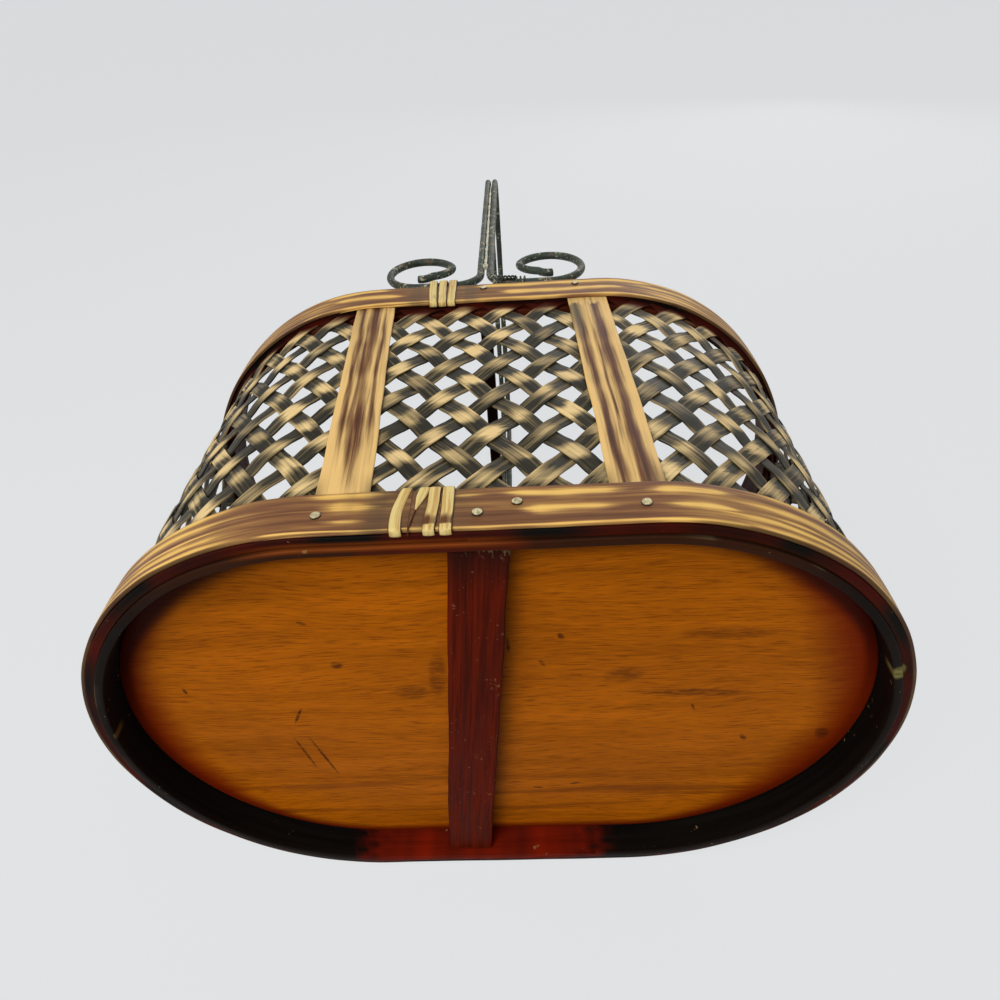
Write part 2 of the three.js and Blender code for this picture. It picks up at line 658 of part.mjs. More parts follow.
for (const [name, start] of Object.entries(tieStarts)) {
  const route = tieWire(start);
  const gap = leastGap(route, tieTurn().length, TIE_WIRE_DIAMETER);
  console.log(`${name}: least gap between turns ${gap.toFixed(2)} mm`);
  addPiece(name, wireAlong(route, TIE_WIRE_DIAMETER, TIE_WIRE_SIDES), 'wire');
}

const baseLashing = crossbarFront - BASE_LASHING_FROM_CROSSBAR;
const rimLashing = HANDLE_X - RIM_LASHING_FROM_LEG;
lashing('base', baseLashingRoute(), baseLashing, BASE_LASHING_STRANDS, BASE_LASHING_LEAN);
lashing('rim', rimLashingRoute(), rimLashing, RIM_LASHING_STRANDS, RIM_LASHING_LEAN);

for (const nail of nails) {
  const mesh = addPiece(nail.name, nailGeometry(nail.length), 'nail');
  mesh.applyMatrix4(nailMatrix(nail));
}

export default basket;
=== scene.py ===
"""Looks of a woven wine bottle basket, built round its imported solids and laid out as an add-on."""

import math

import bmesh
import bpy
import numpy as np
from bpy.props import FloatProperty, FloatVectorProperty, PointerProperty
from mathutils import Matrix, Vector


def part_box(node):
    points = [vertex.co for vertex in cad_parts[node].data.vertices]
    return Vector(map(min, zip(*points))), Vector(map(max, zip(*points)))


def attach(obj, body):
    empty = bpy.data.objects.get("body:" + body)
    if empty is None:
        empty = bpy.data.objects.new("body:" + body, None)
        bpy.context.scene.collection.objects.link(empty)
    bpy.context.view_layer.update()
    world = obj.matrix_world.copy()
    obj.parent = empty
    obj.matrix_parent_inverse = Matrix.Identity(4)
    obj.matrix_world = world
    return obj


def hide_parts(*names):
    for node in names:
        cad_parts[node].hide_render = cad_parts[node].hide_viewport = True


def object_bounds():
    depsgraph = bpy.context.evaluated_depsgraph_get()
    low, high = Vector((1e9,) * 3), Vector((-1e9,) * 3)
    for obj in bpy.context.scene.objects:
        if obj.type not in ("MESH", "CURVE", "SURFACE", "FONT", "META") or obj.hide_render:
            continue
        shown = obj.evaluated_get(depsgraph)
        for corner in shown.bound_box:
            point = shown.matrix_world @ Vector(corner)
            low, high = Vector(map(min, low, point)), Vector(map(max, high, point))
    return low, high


bl_info = {
    "name": "Woven Wine Bottle Basket",
    "version": (1, 0, 0),
    "blender": (4, 5, 0),
    "location": "View3D > Sidebar > Basket",
    "description": "Builds a woven bamboo bottle basket with scorched hoops and a scrolled wire handle",
    "category": "Add Mesh",
}

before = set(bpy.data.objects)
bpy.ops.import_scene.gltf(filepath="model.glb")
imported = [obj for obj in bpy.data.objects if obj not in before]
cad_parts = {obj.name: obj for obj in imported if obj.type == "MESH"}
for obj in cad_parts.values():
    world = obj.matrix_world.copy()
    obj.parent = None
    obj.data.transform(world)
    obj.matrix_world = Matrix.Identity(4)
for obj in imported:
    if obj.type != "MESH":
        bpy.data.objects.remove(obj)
CAD_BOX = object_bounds()

MM = 0.001
BODY = "root"
# Points nearer than this are one point.
SAME_PLACE = 1e-7
X_AXIS = np.array((1.0, 0.0, 0.0))
Y_AXIS = np.array((0.0, 1.0, 0.0))

# The oval wall, worked out from the two outer hoops: its sides lean out more than its ends.
BASE_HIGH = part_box("base_outer_hoop")[1]
RIM_LOW, RIM_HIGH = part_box("rim_outer_hoop")
LEAN = (RIM_HIGH.y - BASE_HIGH.y) / (RIM_HIGH.z - BASE_HIGH.z)
END_LEAN = (RIM_HIGH.x - BASE_HIGH.x) / (RIM_HIGH.z - BASE_HIGH.z)
GROUND_RADIUS = BASE_HIGH.y - LEAN * BASE_HIGH.z
HALF_STRAIGHT = BASE_HIGH.x - END_LEAN * BASE_HIGH.z - GROUND_RADIUS
SEAM = 4 * HALF_STRAIGHT + 2 * math.pi * GROUND_RADIUS
BACK = SEAM / 2

# The lattice of the weave: pitch along the wall, steepness, drift, and one crossing on the front.
STRIPS_EACH_WAY = 42
PITCH = SEAM / STRIPS_EACH_WAY
CLIMB = 1.29
DRIFT = 0.045
CROSSING_ALONG = 2.6 * MM
CROSSING_HEIGHT = 48 * MM
ROW = PITCH * CLIMB / 2


def depth_of(node):
    """How deep below the basket's outside face a solid that goes all round begins."""
    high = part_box(node)[1]
    return GROUND_RADIUS + LEAN * high.z - high.y


OUTER_LAYER = depth_of("weave_outer_strips")
INNER_HOOP = depth_of("base_inner_hoop")
WEAVE_DEPTH = (OUTER_LAYER + INNER_HOOP) / 2

# The photo's camera: place, direction, up, lens and sensor in millimetres, and nearest and farthest sight.
CAMERA_PLACE = Vector((14.18, -200.05, -138.99)) * MM
CAMERA_FORWARD = Vector((-0.0407, 0.6047, 0.7954))
CAMERA_UP = Vector((0.0416, -0.7944, 0.606))
CAMERA_LENS = 26.03
CAMERA_SENSOR = 36.0
CAMERA_CLIP = 0.01, 200.0


def srgb(red, green, blue):
    """A colour given as it looks on a screen, 0 to 255, turned into linear light."""
    shown = np.array((red, green, blue)) / 255
    return tuple(np.where(shown <= 0.04045, shown / 12.92, ((shown + 0.055) / 1.055) ** 2.4))


def colour_choice(name, description, red, green, blue):
    """A colour property whose default is given as it looks on a screen."""
    return FloatVectorProperty(name=name, description=description, subtype="COLOR", size=3,
                               min=0, max=1, default=srgb(red, green, blue))


def length_choice(name, description, millimetres):
    """A length property whose default is given in millimetres."""
    return FloatProperty(name=name, description=description, subtype="DISTANCE", unit="LENGTH",
                         min=0, default=millimetres * MM)


class BasketSizes(bpy.types.PropertyGroup):
    """Sizes of the basket's pieces that the solids leave open."""

    outer_hoop: length_choice("Outer Hoop", "Thickness of the scorched outer hoops", 1.3)
    inner_hoop: length_choice("Inner Hoop", "Thickness of the dark inner hoops", 2.7)
    strip_width: length_choice("Strip Width", "Width of a woven strip", 6.4)
    strip_thickness: length_choice("Strip Thickness", "Thickness of a woven strip", 0.5)
    strip_wave: length_choice("Strip Wave", "How far a strip swings out and in as it weaves", 0.42)
    slat_width: length_choice("Slat Width", "Width of a flat slat", 15.4)
    slat_thickness: length_choice("Slat Thickness", "Thickness of a flat slat", 0.8)
    crossbar_width: length_choice("Crossbar Width", "Width of the batten under the base", 16.6)
    rod: length_choice("Handle Rod", "Diameter of the handle's wire", 3.3)
    tie_wire: length_choice("Tie Wire", "Diameter of the thin wire at the handle's feet", 0.8)
    rattan_width: length_choice("Rattan Width", "Width of a lashing strand", 3.4)
    rattan_thickness: length_choice("Rattan Thickness", "Thickness of a lashing strand", 0.8)
    nail_head: length_choice("Nail Head", "Radius of a nail's domed head", 1.5)


class BasketColours(bpy.types.PropertyGroup):
    """Colours of the basket's finishes."""

    scorch: colour_choice("Scorch", "Scorched bamboo of the outer hoops", 132, 88, 57)
    hoop_streak: colour_choice("Hoop Streak", "Pale streaks on the outer hoops", 240, 190, 104)
    slat_scorch: colour_choice("Slat Scorch", "Scorched streaks on the slats", 108, 66, 40)
    slat_pale: colour_choice("Slat Pale", "Pale bamboo of the slats", 226, 186, 118)
    strip_stain: colour_choice("Strip Stain", "Dark stain of the woven strips", 50, 46, 34)
    strip_crown: colour_choice("Strip Crown", "Scraped crowns of the woven strips", 226, 196, 138)
    dark_hoop: colour_choice("Dark Hoop", "Nearly black stain of the inner hoops", 10, 8, 6)
    lacquer: colour_choice("Red Lacquer", "Red-brown lacquer where it has pooled", 124, 26, 4)
    panel: colour_choice("Panel", "Amber varnish of the base panel", 184, 98, 7)
    # Pooled varnish and painted shade of the recess, along the panel's edge and most at its ends.
    panel_edge: colour_choice("Panel Edge", "Pooled varnish along the panel's edge", 114, 24, 2)
    crossbar: colour_choice("Crossbar", "Red-brown stain of the battens", 94, 25, 8)
    wire: colour_choice("Wire", "Green-black paint of the handle", 42, 50, 42)
    rattan: colour_choice("Rattan", "Peeled cane of the lashings", 238, 214, 140)
    nail: colour_choice("Nail", "Dull yellowed steel of the nails", 232, 218, 170)
    weld: colour_choice("Weld", "Bare pale weld between the rods", 226, 220, 190)
    # Soot and painted shade: near-black behind and under the hoops, on the divider and round nail heads.
    soot_and_shade: colour_choice("Soot and Shade", "Dark where the weave goes behind the hoops", 20, 15, 10)
    weathered: colour_choice("Weathered", "Dull grey-green bamboo beside the lashings", 74, 68, 50)
    floor: colour_choice("Floor", "Pale floor", 228, 230, 232)


def sizes():
    """The sizes in use."""
    return bpy.context.scene.basket_sizes


def colour(name):
    """One of the colours in use, with full opacity."""
    return (*getattr(bpy.context.scene.basket_colours, name), 1.0)


# Shapes


def wander(where, wavelength, seed):
    """A smooth random line between about -1 and 1: four sine waves with seeded starts, each shorter
    and weaker than the one before it."""
    starts = np.random.default_rng(seed).uniform(0, 2 * math.pi, 4)
    ratios = (1.0, 1.63, 2.71, 4.37)
    weights = (0.5, 0.3, 0.2, 0.12)
    return sum(weight * np.sin(2 * math.pi * ratio * where / wavelength + start)
               for ratio, weight, start in zip(ratios, weights, starts))


def ease(value, low, high):
    """A smooth step: 0 below low, 1 above high, and the cubic 3t2 - 2t3 between them."""
    share = np.clip((value - low) / (high - low), 0, 1)
    return share * share * (3 - 2 * share)


def wall(along, depth, height):
    """Points on the leaning oval wall. along runs round the ground outline from the middle of the
    front: a straight run, a half circle, and the same again, turned half round. depth goes inwards
    from the outside face, and the radius grows with height by the wall's lean, which changes with
    the squared sine of the angle from that of the sides to that of the ends."""
    along, depth, height = np.broadcast_arrays(along, depth, height)
    turned = np.mod(along + BACK / 2, SEAM)
    side = np.where(turned < BACK, 1.0, -1.0)
    local = np.mod(turned, BACK) - BACK / 2
    angle = np.sign(local) * np.maximum(np.abs(local) - HALF_STRAIGHT, 0) / GROUND_RADIUS
    lean = LEAN + (END_LEAN - LEAN) * np.sin(angle) ** 2
    radius = GROUND_RADIUS + lean * height - depth
    x = np.clip(local, -HALF_STRAIGHT, HALF_STRAIGHT) + radius * np.sin(angle)
    y = -radius * np.cos(angle)
    return np.stack((side * x, side * y, height), axis=-1)


def from_front(along):
    """Distance along the wall from the middle of the front, at most half the way round either way."""
    return np.mod(along + BACK, SEAM) - BACK


def rounded_section(width, height, radius, face_steps, corner_steps=3):
    """A rounded rectangle as one closed loop of (depth, rise): up the outer face in face_steps, over
    the top, down the inner face and back underneath, with a quarter circle at each corner."""
    climb = np.linspace(radius, height - radius, face_steps + 1)
    turn = np.linspace(0, math.pi / 2, corner_steps + 1)
    inner = turn[1:-1]
    corners = (
        (radius, height - radius, math.pi - turn[1:]),
        (width - radius, height - radius, math.pi / 2 - np.append(0, inner)),
        (width - radius, radius, -turn[1:]),
        (radius, radius, -math.pi / 2 - np.append(0, inner)),
    )
    arcs = [np.stack((x + radius * np.cos(angle), y + radius * np.sin(angle)), axis=-1)
            for x, y, angle in corners]
    outer = np.stack((np.zeros_like(climb), climb), axis=-1)
    back = np.stack((np.full_like(climb, width), climb[::-1]), axis=-1)
    return np.concatenate((outer, arcs[0], arcs[1], back, arcs[2], arcs[3])).T


def swept(x, y, z):
    """The points of one swept shape from their coordinates, spread to one size."""
    return np.stack(np.broadcast_arrays(x, y, z), axis=-1)[None]


def sweep_faces(points, closed=False):
    """Quads between neighbouring rings of a swept shape, with a cap on its first and last ring unless
    it closes on itself, all turned to enclose a positive volume. points is (copies, rings, size, 3)."""
    copies, rings, size = points.shape[:3]
    ring = np.arange(rings if closed else rings - 1)[:, None]
    here = np.arange(size)[None, :]
    after = (ring + 1) % rings * size
    beside = (here + 1) % size
    corners = (ring * size + here, ring * size + beside, after + beside, after + here)
    starts = np.arange(copies)[:, None, None] * rings * size
    quads = (np.stack(np.broadcast_arrays(*corners), axis=-1).reshape(-1, 4) + starts).reshape(-1, 4)
    triangles = [quads[:, [0, 1, 2]], quads[:, [0, 2, 3]]]
    caps = np.empty((0, size), dtype=int)
    if not closed:
        caps = np.stack((here[0, ::-1], here[0] + (rings - 1) * size))
        caps = (caps + starts).reshape(-1, size)
        triangles += [caps[:, [0, step, step + 1]] for step in range(1, size - 1)]
    a, b, c = np.moveaxis(points.reshape(-1, 3)[np.concatenate(triangles)], 1, 0)
    turn = 1 if np.einsum("ij,ij->", a, np.cross(b, c)) > 0 else -1
    return quads[:, ::turn].tolist() + caps[:, ::turn].tolist()


def add_piece(name, points, slot, nodes, marks=None, sharp=38, closed=False, merge=False):
    """Puts a swept shape into a mesh object, with each mark as a number on every point, shades it
    smooth up to a sharp angle, gives it the finish of its slot and its body, and hides the solids
    that it stands for."""
    mesh = bpy.data.meshes.new(name)
    mesh.from_pydata(points.reshape(-1, 3), [], sweep_faces(points, closed))
    for mark, values in (marks or {}).items():
        layer = mesh.attributes.new(mark, "FLOAT", "POINT")
        spread = np.broadcast_to(values, points.shape[:-1])
        layer.data.foreach_set("value", np.ascontiguousarray(spread, dtype=np.float32).ravel())
    if merge:
        shell = bmesh.new()
        shell.from_mesh(mesh)
        bmesh.ops.remove_doubles(shell, verts=shell.verts, dist=SAME_PLACE)
        bmesh.ops.dissolve_degenerate(shell, edges=shell.edges, dist=SAME_PLACE)
        bmesh.ops.recalc_face_normals(shell, faces=shell.faces)
        shell.to_mesh(mesh)
        shell.free()
    mesh.materials.append(material(slot))
    mesh.shade_smooth()
    mesh.set_sharp_from_angle(angle=math.radians(sharp))
    piece = bpy.data.objects.new(name, mesh)
    bpy.context.scene.collection.objects.link(piece)
    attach(piece, BODY)
    if nodes:
        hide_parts(*nodes)


def directions(route):
    """Unit vectors along a route at each of its points."""
    ahead = np.gradient(route, axis=0)
    return ahead / np.linalg.norm(ahead, axis=1, keepdims=True)


def square_to(route, axis):
    """Two unit vectors across a route at each point: the part of an axis that is square to the route,
    and the cross product of the route's direction with it."""
    ahead = directions(route)
    aside = axis - ahead * (ahead @ axis)[:, None]
    aside = aside / np.linalg.norm(aside, axis=1, keepdims=True)
    return aside, np.cross(ahead, aside)


# The cut ends of a round bar: share of its radius on each end ring, and how far along the ring lies.
END_SHRINK = np.array((0.8, 0.93, 1.0))
END_SLIP = np.array((0.0, 0.05, 0.14))


def tube(route, aside, up, radius, sides):
    """A round bar carried along a route: each ring is a circle spanned by the two vectors aside and
    up, and both ends shrink over three short rings to a blunt cut."""
    radius = np.broadcast_to(radius, route.shape[:1])
    slip = END_SLIP * radius[0]
    room = 1.4 * slip[-1]
    head = route[0] - directions(route[:2])[0] * (room - slip[:, None])
    tail = route[-1] + directions(route[-2:])[0] * (room - slip[::-1, None])
    route = np.concatenate((head, route, tail))
    rings = ((len(slip), len(slip)), (0, 0))
    aside = np.pad(aside, rings, mode="edge")
    up = np.pad(up, rings, mode="edge")
    radius = np.concatenate((radius[0] * END_SHRINK, radius, radius[-1] * END_SHRINK[::-1]))
    turn = np.linspace(0, 2 * math.pi, sides, endpoint=False)[None, :, None]
    spread = np.cos(turn) * aside[:, None] + np.sin(turn) * up[:, None]
    return (route[:, None] + radius[:, None, None] * spread)[None]


def route_length(route):
    """Distance along a route from its start to each of its points."""
    steps = np.linalg.norm(np.diff(route, axis=0), axis=1)
    return np.concatenate(((0.0,), np.cumsum(steps)))


# Length over which a streak tapers at both of its ends.
STREAK_TAPER = 9 * MM


def streaks(where, level, rows, seed):
    """Pale streaks along a band. Each row is the streak's start, stop, place across the band and half
    width: a bell across the band that wanders and swells along it, and tapers to both of its ends."""
    pale = np.zeros(np.broadcast(where, level).shape)
    for number, (start, stop, middle, half) in enumerate(rows):
        taper = ease(where, start, start + STREAK_TAPER) * ease(where, stop, stop - STREAK_TAPER)
        swell = 0.35 + 0.65 * taper + 0.3 * wander(where, 46 * MM, seed + 20 + number)
        drift = middle + 0.35 * half * wander(where, 70 * MM, seed + number)
        bell = np.exp(-((level - drift) / (half * np.maximum(swell, 0.2))) ** 2)
        pale = np.maximum(pale, taper * bell * (0.9 + 0.2 * wander(where, 33 * MM, seed + 40 + number)))
    return pale


# Materials


def fill(tree, made, inputs):
    """Sets a node's inputs to values, or links them where they are sockets."""
    for key, value in inputs.items():
        if isinstance(value, bpy.types.NodeSocket):
            tree.links.new(value, made.inputs[key])
        else:
            made.inputs[key].default_value = value


def shader_node(tree, kind, inputs=None, **settings):
    """One shader node with its settings made and its inputs filled."""
    made = tree.nodes.new(kind)
    for setting, value in settings.items():
        setattr(made, setting, value)
    fill(tree, made, inputs or {})
    return made


def reckon(tree, operation, first, second=0.0):
    """A Math node's result for one or two values."""
    return shader_node(tree, "ShaderNodeMath", {0: first, 1: second}, operation=operation).outputs[0]


def times(tree, first, second):
    """The product of two values."""
    return reckon(tree, "MULTIPLY", first, second)


def mixed(tree, factor, under, over):
    """A colour Mix node's result."""
    return shader_node(tree, "ShaderNodeMix", {0: factor, 6: under, 7: over}, data_type="RGBA").outputs[2]


def stepped(tree, value, low, high, to_low=0.0, to_high=1.0):
    """A Map Range node's smooth step from low to high."""
    inputs = {"Value": value, "From Min": low, "From Max": high, "To Min": to_low, "To Max": to_high}
    return shader_node(tree, "ShaderNodeMapRange", inputs, interpolation_type="SMOOTHSTEP").outputs[0]


def mark(tree, name):
    """The number that a piece carries on its points under this name."""
    return shader_node(tree, "ShaderNodeAttribute", attribute_name=name).outputs["Fac"]


def noise(tree, vector, scale, detail=3.0, roughness=0.55):
    """A Noise Texture's value."""
    inputs = {"Vector": vector, "Scale": scale, "Detail": detail, "Roughness": roughness}
    return shader_node(tree, "ShaderNodeTexNoise", inputs).outputs["Fac"]


def ramp(tree, value, stops):
    """A colour that follows a value through stops, each a place and a colour."""
    made = shader_node(tree, "ShaderNodeValToRGB", {0: value})
    elements = made.color_ramp.elements
    for number, (stop, shade) in enumerate(stops):
        element = elements[number] if number < 2 else elements.new(stop)
        element.position = stop
        element.color = shade
    return made.outputs[0]


def toned(shade, share):
    """A colour made darker or lighter by a share."""
    return tuple(min(1.0, share * part) for part in shade[:3]) + (1.0,)


def shown(red, green, blue):
    """A colour for a socket, given as it looks on a screen."""
    return srgb(red, green, blue) + (1.0,)


def place(tree):
    """Object coordinates."""
    return shader_node(tree, "ShaderNodeTexCoord").outputs["Object"]


def stretched(tree, vector, scale):
    """A vector scaled on each axis."""
    return shader_node(tree, "ShaderNodeMapping", {"Vector": vector, "Scale": scale}).outputs[0]


def new_group(name, inputs, outputs):
    """An empty shader group. Its inputs are numbers with a default, or vectors where that is None, and
    its outputs are numbers."""
    tree = bpy.data.node_groups.new(name, "ShaderNodeTree")
    for socket, value in inputs.items():
        kind = "NodeSocketVector" if value is None else "NodeSocketFloat"
        made = tree.interface.new_socket(socket, in_out="INPUT", socket_type=kind)
        if value is not None:
            made.default_value = value
    for socket in outputs:
        tree.interface.new_socket(socket, in_out="OUTPUT", socket_type="NodeSocketFloat")
    return tree, tree.nodes.new("NodeGroupInput").outputs, tree.nodes.new("NodeGroupOutput").inputs


def use_group(tree, name, inputs):
    """One of the shared groups placed in a material."""
    made = tree.nodes.new("ShaderNodeGroup")
    made.node_tree = bpy.data.node_groups.get(name) or GROUPS[name](name)
    fill(tree, made, inputs)
    return made.outputs


# The two fibres: name, waves per metre along and across the piece, and detail.
FIBRES = (("Fine", 40.0, 1150.0, 4.0), ("Coarse", 16.0, 430.0, 3.0))
# How far apart two tones lie in the fibre's noise.
TONE_STEP = 37.0


def fibre_group(name):
    """Bamboo fibre that follows a piece: noise drawn out along the run. Fine is hair-thin, Coarse a
    few millimetres wide."""
    tree, given, result = new_group(name, {"Run": 0.0, "Across": 0.0, "Tone": 0.0}, ("Fine", "Coarse"))
    for output, along, across, detail in FIBRES:
        spread = shader_node(tree, "ShaderNodeCombineXYZ", {
            "X": times(tree, given["Run"], along),
            "Y": times(tree, given["Across"], across),
            "Z": times(tree, given["Tone"], TONE_STEP)})
        tree.links.new(noise(tree, spread.outputs[0], 1.0, detail), result[output])
    return tree


def scrape_group(name):
    """Where pale bamboo shows: the piece's own pale mark, broken up by its fibre, past a limit."""
    inputs = {"Pale": 0.0, "Fine": 0.5, "Coarse": 0.5, "Limit": 0.5, "Softness": 0.2}
    tree, given, result = new_group(name, inputs, ("Mask",))
    fibre = reckon(tree, "ADD", times(tree, given["Fine"], 0.55),
                   times(tree, given["Coarse"], 0.75))
    level = reckon(tree, "ADD", given["Pale"], reckon(tree, "SUBTRACT", fibre, 0.65))
    low = reckon(tree, "SUBTRACT", given["Limit"], given["Softness"])
    high = reckon(tree, "ADD", given["Limit"], given["Softness"])
    tree.links.new(stepped(tree, level, low, high), result["Mask"])
    return tree


def speck_group(name):
    """Scattered specks: fine noise past a limit, gathered by broad noise."""
    tree, given, result = new_group(name, {"Vector": None, "Scale": 600.0, "Limit": 0.62}, ("Mask",))
    broad = noise(tree, given["Vector"], times(tree, given["Scale"], 0.17), 2.0)
    fine = noise(tree, given["Vector"], given["Scale"], 3.0)
    level = reckon(tree, "ADD", fine, times(tree, reckon(tree, "SUBTRACT", broad, 0.5), 0.6))
    high = reckon(tree, "ADD", given["Limit"], 0.07)
    tree.links.new(stepped(tree, level, given["Limit"], high), result["Mask"])
    return tree


def scratch_group(name):
    """One mark on a flat face: a soft oval of given middle, angle, length and width, broken up by
    noise drawn out along X."""
    inputs = {"Vector": None, "X": 0.0, "Y": 0.0, "Angle": 0.0, "Length": 0.01, "Width": 0.001}
    tree, given, result = new_group(name, inputs, ("Mask",))
    middle = shader_node(tree, "ShaderNodeCombineXYZ", {"X": given["X"], "Y": given["Y"]}).outputs[0]
    moved = shader_node(tree, "ShaderNodeVectorMath", {0: given["Vector"], 1: middle},
                        operation="SUBTRACT").outputs[0]
    turned = shader_node(tree, "ShaderNodeVectorRotate", {"Vector": moved, "Angle": given["Angle"]},
                         rotation_type="Z_AXIS", invert=True).outputs[0]
    split = shader_node(tree, "ShaderNodeSeparateXYZ", {0: turned}).outputs
    ragged = stepped(tree, noise(tree, stretched(tree, given["Vector"], (240.0, 900.0, 240.0)), 1.0, 2.0),
                     0.3, 0.6, 0.35, 1.0)
    reach = reckon(tree, "DIVIDE", split["X"], times(tree, given["Length"], 0.5))
    aside = reckon(tree, "DIVIDE", split["Y"], times(tree, given["Width"], 0.6))
    away = reckon(tree, "ADD", times(tree, reach, reach), times(tree, aside, aside))
    tree.links.new(times(tree, stepped(tree, away, 1.0, 0.15), ragged), result["Mask"])
    return tree


def board_group(name):
    """Grain of a sawn board whose length is X: Grain is soft bands drawn out along it, and Pores and
    Glints are short fine ticks, dark and light."""
    tree, given, result = new_group(name, {"Vector": None}, ("Grain", "Pores", "Glints"))
    bent = noise(tree, stretched(tree, given["Vector"], (9.0, 22.0, 9.0)), 1.0, 2.0)
    shift = shader_node(tree, "ShaderNodeCombineXYZ", {
        "Y": times(tree, reckon(tree, "SUBTRACT", bent, 0.5), 0.018)}).outputs[0]
    wavy = shader_node(tree, "ShaderNodeVectorMath", {0: given["Vector"], 1: shift}).outputs[0]
    grain = noise(tree, stretched(tree, wavy, (11.0, 210.0, 40.0)), 1.0, 5.0, 0.62)
    pores = noise(tree, stretched(tree, wavy, (130.0, 1900.0, 200.0)), 1.0, 2.0)
    tree.links.new(grain, result["Grain"])
    tree.links.new(stepped(tree, pores, 0.54, 0.66), result["Pores"])
    tree.links.new(stepped(tree, pores, 0.46, 0.34), result["Glints"])
    return tree


GROUPS = {
    "Bamboo Fibre": fibre_group,
    "Scraped Pale": scrape_group,
    "Specks": speck_group,
    "Scratch": scratch_group,
    "Board Grain": board_group,
}


def new_material(name):
    """An empty material, its node tree and its Principled shader."""
    material = bpy.data.materials.new(f"{name}_finish")
    material.use_nodes = True
    tree = material.node_tree
    return material, tree, tree.nodes["Principled BSDF"]


def finish_shader(tree, shader, base, roughness, height, bump, distance, **fixed):
    """Links colour, roughness and bump to the shader and sets what is the same all over."""
    raised = shader_node(tree, "ShaderNodeBump", {"Strength": bump, "Distance": distance, "Height": height})
    fill(tree, shader, {"Base Color": base, "Roughness": roughness, "Normal": raised.outputs[0]})
    for key, value in fixed.items():
        shader.inputs[key.replace("_", " ")].default_value = value


def bamboo_fibre(tree):
    """The fibre that follows a piece by its own marks."""
    return use_group(tree, "Bamboo Fibre", {
        "Run": mark(tree, "run"), "Across": mark(tree, "across"), "Tone": mark(tree, "tone")})


def bamboo_material(name, dark, pale, fine, coarse, steps):
    """Stained or scorched bamboo: a colour that goes from dark to pale by the piece's pale mark and its
    fibre, then lacquered and weathered places, and soot and painted shade, where the piece's marks say."""
    material, tree, shader = new_material(name)
    fibre = bamboo_fibre(tree)
    spread = reckon(tree, "ADD",
                    times(tree, reckon(tree, "SUBTRACT", fibre["Fine"], 0.5), fine),
                    times(tree, reckon(tree, "SUBTRACT", fibre["Coarse"], 0.5), coarse))
    level = reckon(tree, "ADD", mark(tree, "pale"), spread)
    half_way = tuple(0.62 * low + 0.38 * high for low, high in zip(dark, pale))
    shades = (toned(dark, 0.45), dark, half_way, pale, toned(pale, 1.25))
    base = ramp(tree, level, tuple(zip(steps, shades)))
    base = mixed(tree, mark(tree, "lacquer"), base, colour("lacquer"))
    base = mixed(tree, mark(tree, "dull"), base, colour("weathered"))
    base = mixed(tree, mark(tree, "soot_and_shade"), base, colour("soot_and_shade"))
    rough = stepped(tree, fibre["Coarse"], 0.25, 0.75, 0.42, 0.62)
    finish_shader(tree, shader, base, rough, fibre["Fine"], 0.3, 0.2 * MM, Specular_IOR_Level=0.14)
    return material


# Blobs of glue on the inner base hoop: x, y and size in millimetres, and colour.
GLUE_BLOBS = (
    (-73.6, 58.0, 3.6, (140, 108, 64)),
    (-122.0, -4.5, 3.6, (120, 94, 54)),
    (112.8, 25.2, 3.4, (130, 104, 62)),
    (120.4, -24.5, 5.6, (146, 138, 80)),
)


def dark_hoop_material():
    """Nearly black stained bamboo, olive-brown or amber along its edges, with red lacquer pooled in
    places, a thin pale painted highlight along an edge and a few crumbs and blobs of glue."""
    material, tree, shader = new_material("dark_bamboo")
    fibre = bamboo_fibre(tree)
    here = place(tree)
    split = shader_node(tree, "ShaderNodeSeparateXYZ", {0: here}).outputs
    crumbs = use_group(tree, "Specks", {"Vector": here, "Scale": 420.0, "Limit": 0.74})["Mask"]
    ground = mixed(tree, stepped(tree, fibre["Coarse"], 0.35, 0.75), colour("dark_hoop"),
                   toned(colour("dark_hoop"), 1.8))
    ground = mixed(tree, mark(tree, "edge"), ground, shown(52, 26, 12))
    red = times(tree, mark(tree, "lacquer"), stepped(tree, fibre["Coarse"], 0.2, 0.5, 0.55, 1.0))
    ground = mixed(tree, red, ground, colour("lacquer"))
    warm = times(tree, mark(tree, "warm"), stepped(tree, fibre["Coarse"], 0.3, 0.55, 0.2, 0.95))
    ground = mixed(tree, warm, ground, shown(132, 64, 18))
    # Painted highlight: a thin pale line where the pale mark is.
    painted_edge_highlight = times(tree, mark(tree, "pale"), stepped(tree, fibre["Coarse"], 0.36, 0.56))
    base = mixed(tree, painted_edge_highlight, ground, shown(196, 176, 132))
    base = mixed(tree, times(tree, crumbs, 0.7), base, shown(150, 118, 72))
    for x, y, size, shade in GLUE_BLOBS:
        blob = use_group(tree, "Scratch", {
            "Vector": here, "X": x * MM, "Y": y * MM, "Length": size * MM, "Width": size * MM})["Mask"]
        blob = times(tree, blob, stepped(tree, split["Z"], 7 * MM, 3 * MM, 0.0, 0.8))
        base = mixed(tree, blob, base, shown(*shade))
    rough = stepped(tree, fibre["Coarse"], 0.25, 0.75, 0.46, 0.66)
    finish_shader(tree, shader, base, rough, fibre["Fine"], 0.35, 0.2 * MM, Specular_IOR_Level=0.05)
    return material


